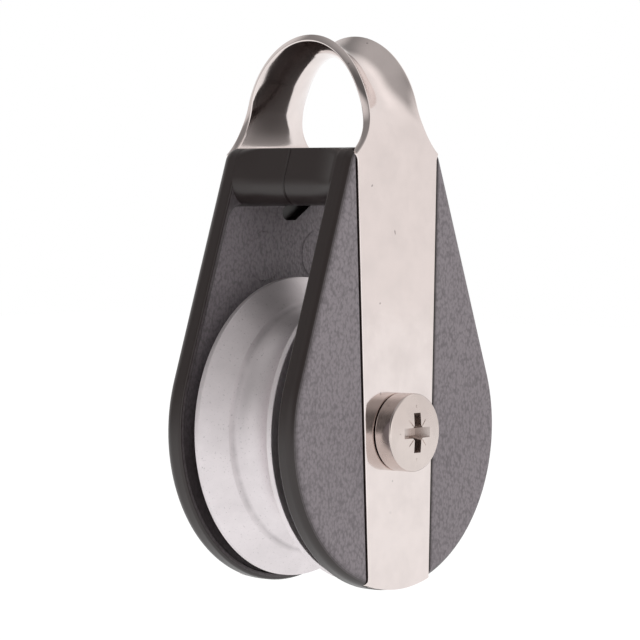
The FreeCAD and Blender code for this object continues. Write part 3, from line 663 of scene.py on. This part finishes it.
def head_shell(name, sizes, lip):
    """Half of the head, from the seam to inside the cheek's plate.

    Its inset falls from the head's to nothing as the square of the way to the lip, so that it
    flares out tangent to the head's front."""
    start, bevel = sizes.blend_start, sizes.seam_bevel
    top = CHEEK_HIGH[2]
    places = [(0.0, sizes.head_inset + bevel, sizes.head_top, sizes.head_foot, bevel),
              (bevel, sizes.head_inset, sizes.head_top, sizes.head_foot, 0.0),
              (bevel + SUPPORT, sizes.head_inset, sizes.head_top, sizes.head_foot, 0.0)]
    for share in np.linspace(0, 1, 14):
        reach = share ** 2
        places.append((start + (lip - start) * share,
                       sizes.head_inset * (1 - reach) + HAIR * reach,
                       sizes.head_top + (sizes.shoulder - sizes.head_top) * reach,
                       sizes.head_foot + (sizes.head_flare - sizes.head_foot) * reach, HAIR))
    root = 2 * sizes.lip_round
    places.append((lip + root, HAIR, sizes.shoulder, sizes.head_flare, HAIR))
    places.append((lip + 2 * root, root, sizes.shoulder, sizes.head_flare, root))
    rings = []
    for depth, inset, top_corner, foot_corner, drop in places:
        outline = head_outline(sizes, top, inset, top_corner, foot_corner)
        middle = np.array([0, (top + sizes.head_bottom) / 2])
        squeeze = 1 - drop / (top - middle[1])
        outline = np.stack([outline[:, 0], middle[1] + (outline[:, 1] - middle[1]) * squeeze], -1)
        rings.append(ring_at(outline, -depth))
    return capped_tube(name, rings)


def block_shell(name, corners, near, far):
    """A closed prism whose outline is a list of (x, z), between two places along Y."""
    return capped_tube(name, [ring_at(corners, place) for place in (near, far)])


def disc_outline(radius, x=0.0, z=0.0, count=96, start=0.0, span=TURN):
    """Points of (x, z) round a circle, or along a part of it."""
    turn = start + np.linspace(0, span, count, endpoint=span < TURN)
    return np.stack([x + radius * np.cos(turn), z + radius * np.sin(turn)], axis=-1)


def strap_half(strap, height):
    """Half width of a leg, which tapers straight down to its foot."""
    fall = (strap.shoulder_height - height) / (strap.shoulder_height + strap.foot_radius)
    return strap.top_half - (strap.top_half - strap.foot_half) * fall


def channel_shell(sizes, strap, outer):
    """Cutter for the strap's channel: a section of (x, y) between two heights.

    Its sides lean with the strap's legs. Each long edge is a quarter round whose centre lies
    inside the cheek, a radius below the face, and the cutter ends tangent to the face."""
    arc = np.linspace(0, math.pi / 2, 10)
    rounding = sizes.channel_round
    rings = []
    for height in (-CHEEK_HIGH[0] - MM, CHEEK_HIGH[2] + MM):
        half = strap_half(strap, height) + sizes.channel_gap
        x = np.concatenate([[half], half + rounding * (1 - np.cos(arc)), [half + rounding]])
        y = np.concatenate([[sizes.channel_depth - outer], rounding * (1 - np.sin(arc)) - outer,
                            [-outer - MM]])
        section = np.stack([np.concatenate([x, -x[::-1]]), np.concatenate([y, y[::-1]]),
                            np.full(2 * len(x), height)], -1)
        rings.append(section)
    return capped_tube("channel", rings)


def recess_shell(sizes, lip):
    """Cutter for the recess: its outline carries a wall with a round top and a round foot."""
    edge, normal = teardrop(CHEEK_HIGH[0] - sizes.lip_width, sizes.head_bottom - 2 * HAIR,
                            sizes.recess_corner, sizes.side_angle)
    floor, small = lip + sizes.recess_depth, sizes.lip_inner
    arc = np.linspace(0, math.pi / 2, 6)
    rim = np.stack([small * (np.sin(arc) - 1), -lip - small * (1 - np.cos(arc))], -1)
    wall = soften([rim[-1], (0, -floor), (4 * sizes.recess_foot, -floor)],
                  [0, sizes.recess_foot, 0], closed=False)
    profile = np.concatenate([[(-small, -lip + MM)], rim, wall[1:]])
    recess = capped_tube("recess", carried(edge, normal, profile))
    boss = block_shell("boss", disc_outline(sizes.boss_radius), -lip + 2 * MM, -floor - MM)
    marks = [pin_mark(sizes, x, floor) for x in (-sizes.pin_outer, sizes.pin_inner)]
    return combine(recess, [boss, *marks])


def pin_mark(sizes, x, floor):
    """A low disc with a sloping wall, whose radius falls by the wall's width per lift."""
    rings = []
    for step in (-1, 1):
        radius = sizes.pin_radius + sizes.pin_wall * (1 - step)
        rings.append(ring_at(disc_outline(radius, x, sizes.pin_height),
                             sizes.pin_lift * step - floor))
    return capped_tube("mark", rings)


def cheek_shell(name):
    """The near cheek: plate, half head, recess, strap channel, axle hole and core slot."""
    sizes, strap = settings("cheek"), settings("strap")
    radius, top, outer = CHEEK_HIGH[0], CHEEK_HIGH[2], -CHEEK_LOW[1]
    lip = -WASHER_LOW[1]
    outline, normals = teardrop(radius, top, sizes.shoulder, sizes.side_angle)
    inner = sizes.edge_round + PAST
    profile = soften([(inner, -outer), (0, -outer), (0, -lip), (inner, -lip)],
                     [0, sizes.edge_round, sizes.lip_round, 0], closed=False, steps=10)
    plate = capped_tube(name, carried(outline, normals, profile))
    combine(plate, [head_shell(name + "_head", sizes, lip)], "UNION")

    hole = block_shell("hole", disc_outline(sizes.axle_hole), -outer - MM, -lip + MM)
    side, small = -sizes.slot_offset, sizes.slot_radius
    slot_z = sizes.head_bottom - small
    rounded = disc_outline(small, side, slot_z, 16, math.pi / 2, -math.pi)
    tail = [(side - sizes.slot_floor, slot_z - small),
            (side - sizes.slot_length, sizes.head_bottom)]
    slot = block_shell("slot", np.concatenate([rounded, tail]),
                       sizes.channel_depth + sizes.slot_skin - outer, -lip)
    return combine(plate, [recess_shell(sizes, lip), channel_shell(sizes, strap, outer),
                           hole, slot])


def mark_grain(piece, sizes):
    """Face attributes: how strongly each face is grained, and 1 on the recess's floor.

    The mould was grained on the outer face, fading out down its rounding, on the recess's floor
    and faintly on the lip, but not in the strap's channel or on the walls."""
    mesh = piece.data
    centres, normals = face_array(mesh, "center"), face_array(mesh, "normal")
    depth = np.abs(centres[:, 1])
    facing = normals[:, 1] * np.sign(centres[:, 1])
    outer, lip = -CHEEK_LOW[1], -WASHER_LOW[1]
    flat = np.abs(facing) > FLAT
    outside = (depth > outer - sizes.edge_round) & (facing > 0)
    channel = flat & (np.abs(depth - (outer - sizes.channel_depth)) < HAIR)
    sunk = depth - (lip + sizes.recess_depth)
    floor = (facing < 0) & (sunk > -sizes.pin_lift - HAIR) & (sunk < HAIR)
    rim = flat & (facing < 0) & (np.abs(depth - lip) < HAIR)
    fade = smooth_rise((facing - GRAIN_EDGE) / (1 - GRAIN_EDGE))
    face_attribute(mesh, "grain", np.where(outside & ~channel, fade, floor + LIP_GRAIN * rim))
    # the recess's floor, where the material paints shade lower down
    face_attribute(mesh, "recess", floor)


# Strap
def neck_half(strap, height):
    """Half width above the shoulder: an arc that ends upright at the waist, then a narrowing
    to the crown with the square of the way up."""
    rise = strap.waist_height - strap.shoulder_height
    run = -STRAP_LOW[0] - strap.eye_half
    radius = (rise ** 2 + run ** 2) / (2 * run)
    below = np.clip(strap.waist_height - height, 0, rise)
    above = np.clip(height - strap.waist_height, 0, None) / (STRAP_HIGH[2] - strap.waist_height)
    return (strap.eye_half + radius - np.sqrt(radius ** 2 - below ** 2)
            - (strap.eye_half - strap.crown_half) * above ** 2)


def strap_line(strap):
    """The edge line from the near foot to the top: (out, height), and its outward normals.

    The legs are upright to just above the cheeks. From there the line is a quarter of an
    ellipse, whose half width lessens by the lean."""
    neck = CHEEK_HIGH[2] + strap.neck_clear
    arch = CHEEK_HIGH[2] + strap.arch_clear
    swell = strap.shoulder_height - strap.swell
    turn = np.linspace(0, math.pi / 2, 110)[1:]
    low = -0.8 * strap.foot_radius    # the foot's own rings lie below
    upright = np.concatenate([np.linspace(low, swell, 60),
                              np.linspace(swell, neck, 16)[1:], np.linspace(neck, arch, 16)[1:]])
    height = np.concatenate([upright, arch + (STRAP_HIGH[2] - arch) * np.sin(turn)])
    across = np.concatenate([np.ones(len(upright)), np.cos(turn)])
    lean = smooth_rise((height - neck) / strap.lean_length) * strap.lean
    line = np.stack([(STRAP_OUT - lean) * across, height], -1)
    along = np.gradient(line, axis=0)
    normal = np.stack([along[:, 1], -along[:, 0]], -1)
    normal[-1] = (0, 1)
    return line, normal / np.linalg.norm(normal, axis=1, keepdims=True)


def strap_widths(strap, height):
    """Half widths and depths of dish at some heights.

    The legs taper down and swell to the shoulders. From the neck, the dish grows with the
    height by a smooth rise."""
    neck = CHEEK_HIGH[2] + strap.neck_clear
    grown = smooth_rise((height - strap.shoulder_height + strap.swell) / strap.swell)
    leg = strap_half(strap, height) * (1 - grown) - STRAP_LOW[0] * grown
    half = np.where(height <= strap.shoulder_height, leg, neck_half(strap, height))
    return half, strap.dish * smooth_rise((height - neck) / (strap.dish_height - neck))


def strip_bar(half, thick, rounding):
    """Closed loop round a bar with rounded edges: x for every station, and the depth t.

    It goes over the outer face (t = 0), round the edge at +x, back over the inner face and
    round the edge at -x. An edge is two quarter rounds with a flat between them."""
    turn = np.linspace(0, math.pi / 2, 6)
    flat = half[:, None] - rounding
    edge_x = rounding * np.concatenate([np.sin(turn[1:]), np.cos(turn[:-1])])
    edge_t = np.concatenate([rounding * (1 - np.cos(turn[1:])),
                             thick - rounding * (1 - np.sin(turn[:-1]))])
    across = np.linspace(-1, 1, 45)
    x = np.concatenate([flat * across, flat + edge_x, -flat * across,
                        -(flat + edge_x[::-1])], axis=1)
    deep = np.concatenate([0 * across, edge_t, thick + 0 * across, edge_t[::-1]])
    return x, deep


def dished(x, deep, half, dish):
    """Bends the bar's loop into the dished strip: x, and how far a point lies from the edge line.

    The outer face is the parabola -dish * (1 - (x / half) ** 2), and a point at a depth lies
    that far from it along the face's normal."""
    half, dish = half[:, None], dish[:, None]
    slope = 2 * dish * x / half ** 2
    norm = np.sqrt(1 + slope ** 2)
    return x + deep * slope / norm, -dish * (1 - (x / half) ** 2) - deep / norm


def foot_rings(strap, x, deep, start):
    """Rings from a rounded foot up to the first station, at the height start.

    A point's lowest place is on the foot's arc about the axle. The first rings step in from the
    edge by rounding * (1 - sin), while they rise from it by rounding * (1 - cos)."""
    narrow = strap.foot_half / (np.abs(x).max())
    arc_z = -np.sqrt(strap.foot_radius ** 2 - (x * narrow) ** 2)
    turn = np.linspace(0, math.pi / 2, 6)[:-1, None]
    step_in, lift = strap.edge_round * (1 - np.sin(turn)), strap.edge_round * (1 - np.cos(turn))
    share = np.linspace(0, 1, 14)[:-1, None]
    z = np.concatenate([arc_z + lift, (arc_z + strap.edge_round) * (1 - share) + start * share])
    taper = strap_half(strap, z) / strap_half(strap, start)
    none = np.zeros(len(share))[:, None]
    step_in = np.concatenate([step_in, none])
    ring_x = x * taper * (1 - step_in / strap.foot_half)
    middle = strap.thick / 2
    ring_deep = middle + (deep - middle) * (1 - step_in / middle)
    return np.stack([ring_x, ring_deep - STRAP_OUT, z], -1)


def strap_shell(name):
    """The whole strip, from one foot over the eye to the other, drilled for the screw."""
    strap = settings("strap")
    line, normal = strap_line(strap)
    half, dish = strap_widths(strap, line[:, 1])
    bar_x, deep = strip_bar(half, strap.thick, strap.edge_round)
    x, reach = dished(bar_x, deep, half, dish)
    y = -line[:, :1] - reach * normal[:, :1]
    z = line[:, 1:] + reach * normal[:, 1:]
    near = np.concatenate([foot_rings(strap, bar_x[0], deep, line[0, 1]),
                           np.stack([x, y, z], -1)])
    far = near[::-1][1:] * np.array([1, -1, 1])
    piece = capped_tube(name, np.concatenate([near, far]))
    reach = STRAP_OUT + 2 * MM
    return combine(piece, [block_shell("drill", disc_outline(strap.hole), -reach, reach)])


# Screw and nut
def screw_shell(name):
    """The screw, as rings of a turned profile along Y, cut by its cross recess and ticks.

    The head's face is a shallow dome, drop = dome * (r / edge) ** 2, and its underside stands a
    small gap off the strap outside its seat. Along the thread a ring's radius is lessened by
    the depth times a triangle wave of y / pitch - angle / turn."""
    sizes = settings("screw")
    face, tip, under = SCREW_LOW[1], SCREW_HIGH[1], -STRAP_OUT
    head, body = SCREW_HIGH[2], sizes.thread_radius
    edge = head - sizes.head_round
    rise = np.linspace(0.02, 1, 14)
    dome = np.stack([face + sizes.head_dome * rise ** 2, edge * rise], -1)
    brim = face + sizes.head_dome
    lift, seat = under - sizes.seat_lift, head - sizes.seat_inset
    side = soften([dome[-1], (brim + SUPPORT, head), (lift, head), (lift, seat), (under, seat),
                   (under, body)],
                  [0, sizes.head_round - SUPPORT, sizes.head_under, 0, 0, 0], closed=False)
    start = tip - sizes.thread_length
    plain = np.array([(start - PAST, body)])    # holds the shank's end against the thread
    along = np.arange(start, tip, sizes.pitch / 10)
    thread = np.stack([along, np.minimum(body, body - sizes.tip + (tip - along))], -1)
    profile = np.concatenate([dome, side[1:], plain, thread, [(tip, body - sizes.tip)]])
    count = 96
    angle = np.linspace(0, TURN, count, endpoint=False)[None, :]
    y, radius = profile[:, :1], profile[:, 1:]
    wave = np.abs(((y / sizes.pitch - angle / TURN) % 1) - 0.5) * 2
    fade = np.clip((y - start) / sizes.pitch, 0, 1)
    radius = radius - sizes.thread_depth * wave * fade
    rings = np.stack([radius * np.sin(angle), y + 0 * angle, radius * np.cos(angle)], -1)
    piece = combine(capped_tube(name, rings),
                    [cross_shell(sizes, face), *tick_shells(sizes, face)])
    mark_stamped_shade(piece, sizes, face)
    return piece


def mark_stamped_shade(piece, sizes, face):
    """A face attribute: 1 in the cross recess, deeper than the dome and its ticks, else 0."""
    mesh = piece.data
    centres = face_array(mesh, "center")
    deep = centres[:, 1] - face
    reach = np.hypot(centres[:, 0], centres[:, 2])
    dome = sizes.head_dome * (reach / (SCREW_HIGH[2] - sizes.head_round)) ** 2
    # faces that the steel's material paints darker, partly as painted shade in the recess
    stamped = (deep > dome + sizes.tick_depth + HAIR) & (deep < sizes.cross_depth + HAIR)
    stamped &= reach < sizes.cross_length / 2
    face_attribute(mesh, "stamped", stamped)


def cross_shell(sizes, face):
    """Cutter for the cross recess: a cross with bevelled inner corners that narrows downwards.

    An arm's end moves in by the depth times the tangent of its slope, and so do the sides."""
    quarter = np.array([[0, 1], [-1, 0]])
    rings = []
    for deep in (-PAST, 0.0, sizes.cross_depth):
        sunk = max(deep, 0)
        long = sizes.cross_length / 2 - sunk * math.tan(sizes.arm_slope)
        half = sizes.cross_width / 2 - sunk * math.tan(sizes.wall_slope)
        corner = half + sizes.cross_corner * (1 - sunk / (2 * sizes.cross_depth))
        arm = np.array([(corner, -half), (long, -half), (long, half), (corner, half)])
        arms = [arm @ np.linalg.matrix_power(quarter, turn) for turn in range(4)]
        rings.append(ring_at(np.concatenate(arms), face + deep))
    return capped_tube("cross", rings)


def tick_shells(sizes, face):
    """Cutters for the ticks between the arms and the fainter marks in line with them.

    Each is a bar from one radius to another, turned about the screw's axis. The head's dome
    falls away outwards, so a bar is sunk by the dome's drop at its middle."""
    shells = []
    for index in range(8):
        between = index % 2
        low, high = ((sizes.tick_start, sizes.tick_end) if between
                     else (sizes.mark_start, sizes.mark_end))
        faint = 1 if between else 0.6
        width, deep = sizes.tick_width * faint / 2, sizes.tick_depth * faint
        drop = sizes.head_dome * ((low + high) / (2 * SCREW_HIGH[2])) ** 2
        bar = np.array([(low, 0), (low + width, -width), (high - width, -width), (high, 0),
                        (high - width, width), (low + width, width)])
        turn = index * TURN / 8
        wheel = np.array([[math.cos(turn), math.sin(turn)], [-math.sin(turn), math.cos(turn)]])
        shells.append(block_shell("tick", bar @ wheel, face - PAST, face + drop + deep))
    return shells


def nut_shell(name):
    """The lock nut: a hexagon cut by a turned profile that bevels its corners, with a collar."""
    sizes = settings("screw")
    low, high = NUT_LOW[1], NUT_HIGH[1]
    flat, corner = sizes.nut_half, sizes.nut_half / math.cos(math.pi / 6)
    shelf = low + sizes.nut_height
    slope = math.tan(sizes.nut_bevel)
    fine, broad, bore = 0.1 * MM, 0.3 * MM, 0.2 * MM    # roundings
    wide = corner + 0.2 * MM    # clear of the hexagon, whose shell cuts it
    turned = [(low, flat), (low + (wide - flat) * slope, wide),
              (shelf - (wide - flat) * slope, wide), (shelf, flat),
              (shelf, sizes.collar_radius), (high, sizes.collar_radius),
              (high, sizes.collar_radius - sizes.collar_wall),
              (high - sizes.insert_thick, sizes.collar_radius - sizes.collar_wall),
              (high - sizes.insert_thick, sizes.thread_radius), (low, sizes.thread_radius)]
    rounds = [0, 0, 0, fine, broad, broad, fine, 0, 0, bore]
    body = revolve(name, soften(turned, rounds), 144)
    turn = np.arange(6) * TURN / 6
    six = np.stack([corner * np.cos(turn), corner * np.sin(turn)], -1)
    six = soften(six, [(corner - flat) * 0.3] * 6)
    return combine(body, [block_shell("six", six, low - MM, high + MM)], "INTERSECT")


class BLOCK_OT_sheave(bpy.types.Operator):
    """Builds the sheave"""
    bl_idname = "block.sheave"
    bl_label = "Build sheave"

    def execute(self, context):
        sizes = settings("sheave")
        piece = revolve("sheave_wheel", sheave_profile(sizes), sizes.steps)
        shade(piece)
        finish_piece(piece, blasted_aluminium(), SHEAVE_BODY, "sheave")
        return {"FINISHED"}


class BLOCK_OT_cheeks(bpy.types.Operator):
    """Builds both cheeks from one moulding"""
    bl_idname = "block.cheeks"
    bl_label = "Build cheeks"

    def execute(self, context):
        near = cheek_shell("cheek_near")
        mark_grain(near, settings("cheek"))
        shade(near, degrees=28)
        far = bpy.data.objects.new("cheek_far", near.data.copy())
        context.scene.collection.objects.link(far)
        far.data.transform(Matrix.Rotation(math.pi, 4, "Z"))
        plastic = moulded_plastic()
        finish_piece(near, plastic, FRAME_BODY, "near_cheek")
        finish_piece(far, plastic, FRAME_BODY, "far_cheek")
        return {"FINISHED"}


class BLOCK_OT_strap(bpy.types.Operator):
    """Builds the strap with its dished eye"""
    bl_idname = "block.strap"
    bl_label = "Build strap"

    def execute(self, context):
        piece = strap_shell("strap_strip")
        shade(piece, degrees=40)
        steel = polished_steel("polished_stainless_sheet", "steel", roughness=0.1, scratch=0.2)
        finish_piece(piece, steel, FRAME_BODY, "strap")
        return {"FINISHED"}


class BLOCK_OT_fasteners(bpy.types.Operator):
    """Builds the screw and the nut, and finishes the pieces on the axle"""
    bl_idname = "block.fasteners"
    bl_label = "Build fasteners"

    def execute(self, context):
        steel = polished_steel("bright_stainless_bar", "bar", roughness=0.22, scratch=0.4)
        acetal = turned_plastic("turned_acetal", "bearing", roughness=0.4)
        nylon = turned_plastic("moulded_nylon_ring", "nylon", roughness=0.3)
        for shell, name, node in ((screw_shell, "pan_screw", "axle_screw"),
                                  (nut_shell, "nut_hexagon", "lock_nut")):
            piece = shell(name)
            shade(piece, degrees=30)
            finish_piece(piece, steel, FRAME_BODY, node)
        finishes = {"axle_sleeve": steel, "sheave_bush": acetal, "thrust_washer_near": acetal,
                    "thrust_washer_far": acetal, "nut_insert": nylon}
        for node, material in finishes.items():
            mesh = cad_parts[node].data
            mesh.materials.clear()
            mesh.materials.append(material)
        return {"FINISHED"}


class BLOCK_OT_stage(bpy.types.Operator):
    """Sets the floor, lights, world and camera"""
    bl_idname = "block.stage"
    bl_label = "Set the stage"

    def execute(self, context):
        make_floor()
        make_lights()
        make_world(context.scene)
        make_camera(context.scene)
        context.scene.view_settings.view_transform = "Standard"
        return {"FINISHED"}


def seen_directly(tree):
    """1 for a ray from the camera, from a mirror or through glass, and 0 for the rest."""
    sight = add_node(tree, "LightPath").outputs
    seen = add_node(tree, "Math", {0: sight["Is Camera Ray"], 1: sight["Is Glossy Ray"]},
                    operation="ADD")
    return add_node(tree, "Math", {0: seen, 1: sight["Is Transmission Ray"]},
                    operation="ADD", use_clamp=True)


def make_floor():
    """A pale floor well below the hanging block. It shows white, and keeps a soft shadow."""
    half, below = 3.0, 0.12    # metres
    white_share, white_strength = 0.75, 1.25
    height = CAD_BOX[0][2] - below
    corners = np.array([(-half, -half, height), (half, -half, height),
                        (half, half, height), (-half, half, height)])
    floor = new_object("floor", corners, [(0, 1, 2, 3)])
    material, tree = new_material("pale_floor")
    shader = add_node(tree, "BsdfPrincipled", {"Base Color": (*linear("f4f4f4"), 1),
                                               "Roughness": 0.9})
    share = add_node(tree, "Math", {0: seen_directly(tree), 1: white_share},
                     operation="MULTIPLY")
    white = add_node(tree, "Emission", {"Strength": white_strength})
    mix = add_node(tree, "MixShader", {0: share, 1: shader, 2: white})
    add_node(tree, "OutputMaterial", {"Surface": mix})
    floor.data.materials.append(material)


def heading(azimuth, elevation):
    """Unit direction: azimuth from +X towards +Y, and elevation above level, in degrees."""
    turn, lift = math.radians(azimuth), math.radians(elevation)
    return Vector((math.cos(turn) * math.cos(lift), math.sin(turn) * math.cos(lift),
                   math.sin(lift)))


def make_lights():
    """Soft boxes, each aimed at the block: heading, distance, size, radiance, and whether
    mirrors show it.

    A box of side s that glows with radiance L gives pi * L * s ** 2 watts."""
    aim = Vector((0, 0, 0.018))
    boxes = [("front_box", -108, -4, 0.9, 0.7, 0.4, True),
             ("side_box", -152, 34, 0.9, 1.0, 0.5, False)]
    for name, azimuth, elevation, distance, size, radiance, mirrored in boxes:
        light = bpy.data.lights.new(name, "AREA")
        light.size, light.energy = size, math.pi * radiance * size ** 2
        lamp = bpy.data.objects.new(name, light)
        way = heading(azimuth, elevation)
        lamp.location = aim + way * distance
        lamp.rotation_euler = way.to_track_quat("Z", "Y").to_euler()
        lamp.visible_glossy = mirrored
        bpy.context.scene.collection.objects.link(lamp)


def glow(tree, way, azimuth, elevation, inner, outer, amount):
    """Radiance of a soft patch of the room: the amount within inner degrees of a direction,
    and nothing past outer degrees."""
    dot = add_node(tree, "VectorMath", {0: way, 1: heading(azimuth, elevation)},
                   operation="DOT_PRODUCT").outputs["Value"]
    return add_node(tree, "MapRange", {0: dot, 1: math.cos(math.radians(outer)),
                                       2: math.cos(math.radians(inner)), 4: amount},
                    interpolation_type="SMOOTHSTEP")


def make_world(scene):
    """A studio room: an even glow, soft patches brighter or darker than it, and white where
    the camera looks. Mirrors see the white backdrop too, where it stands behind the block."""
    world = bpy.data.worlds.new("studio")
    scene.world = world
    world.use_nodes = True
    tree = world.node_tree
    tree.nodes.clear()
    way = add_node(tree, "TexCoord").outputs["Generated"]
    total = ROOM_LEVEL
    for patch in ROOM_PATCHES:
        total = add_node(tree, "Math", {0: total, 1: glow(tree, way, *patch)}, operation="ADD")
    room = add_node(tree, "Background", {"Color": (*linear("fcf9f8"), 1), "Strength": total})
    sight = add_node(tree, "LightPath").outputs
    mirrored = add_node(tree, "Math", {0: sight["Is Glossy Ray"],
                                       1: sight["Is Transmission Ray"]}, operation="ADD")
    behind = add_node(tree, "Math", {0: mirrored, 1: glow(tree, way, *BACKDROP)},
                      operation="MULTIPLY")
    share = add_node(tree, "Math", {0: sight["Is Camera Ray"], 1: behind},
                     operation="ADD", use_clamp=True)
    white = add_node(tree, "Background", {"Color": (1, 1, 1, 1)})
    mix = add_node(tree, "MixShader", {0: share, 1: room, 2: white})
    add_node(tree, "OutputWorld", {"Surface": mix})


def make_camera(scene):
    """The photograph's view: a long lens, level with the head of the block."""
    view = settings("view")
    turn, lift, roll = view.azimuth, view.elevation, view.roll
    back = Vector((math.sin(turn) * math.cos(lift), -math.cos(turn) * math.cos(lift),
                   math.sin(lift)))
    right = Vector((math.cos(turn), math.sin(turn), 0))
    above = back.cross(right)
    side = right * math.cos(roll) + above * math.sin(roll)
    up = above * math.cos(roll) - right * math.sin(roll)
    data = bpy.data.cameras.new("camera")
    data.sensor_width = 36
    data.lens = view.lens
    data.clip_start = 0.01
    camera = bpy.data.objects.new("camera", data)
    place = side * view.across + up * view.above + back * view.distance
    camera.matrix_world = Matrix.Translation(place) @ Matrix((side, up, back)).transposed().to_4x4()
    scene.collection.objects.link(camera)
    scene.camera = camera


OPERATORS = (BLOCK_OT_sheave, BLOCK_OT_cheeks, BLOCK_OT_strap, BLOCK_OT_fasteners,
             BLOCK_OT_stage)


class BLOCK_PT_panel(bpy.types.Panel):
    """Lists the block's operators and sizes"""
    bl_idname = "BLOCK_PT_panel"
    bl_label = "Pulley block"
    bl_space_type = "VIEW_3D"
    bl_region_type = "UI"
    bl_category = "Pulley block"

    def draw(self, context):
        for operator in OPERATORS:
            self.layout.operator(operator.bl_idname)
        for name, group in SETTINGS.items():
            box = self.layout.box()
            for field in group.__annotations__:
                box.prop(settings(name), field)


CLASSES = (*SETTINGS.values(), *OPERATORS, BLOCK_PT_panel)


def register():
    for item in CLASSES:
        bpy.utils.register_class(item)
    for name, group in SETTINGS.items():
        setattr(bpy.types.Scene, f"block_{name}", bpy.props.PointerProperty(type=group))


def unregister():
    for name in SETTINGS:
        delattr(bpy.types.Scene, f"block_{name}")
    for item in reversed(CLASSES):
        bpy.utils.unregister_class(item)


def main():
    """Builds the whole scene."""
    register()
    bpy.ops.block.sheave()
    bpy.ops.block.cheeks()
    bpy.ops.block.strap()
    bpy.ops.block.fasteners()
    bpy.ops.block.stage()


if __name__ == "__main__":
    main()
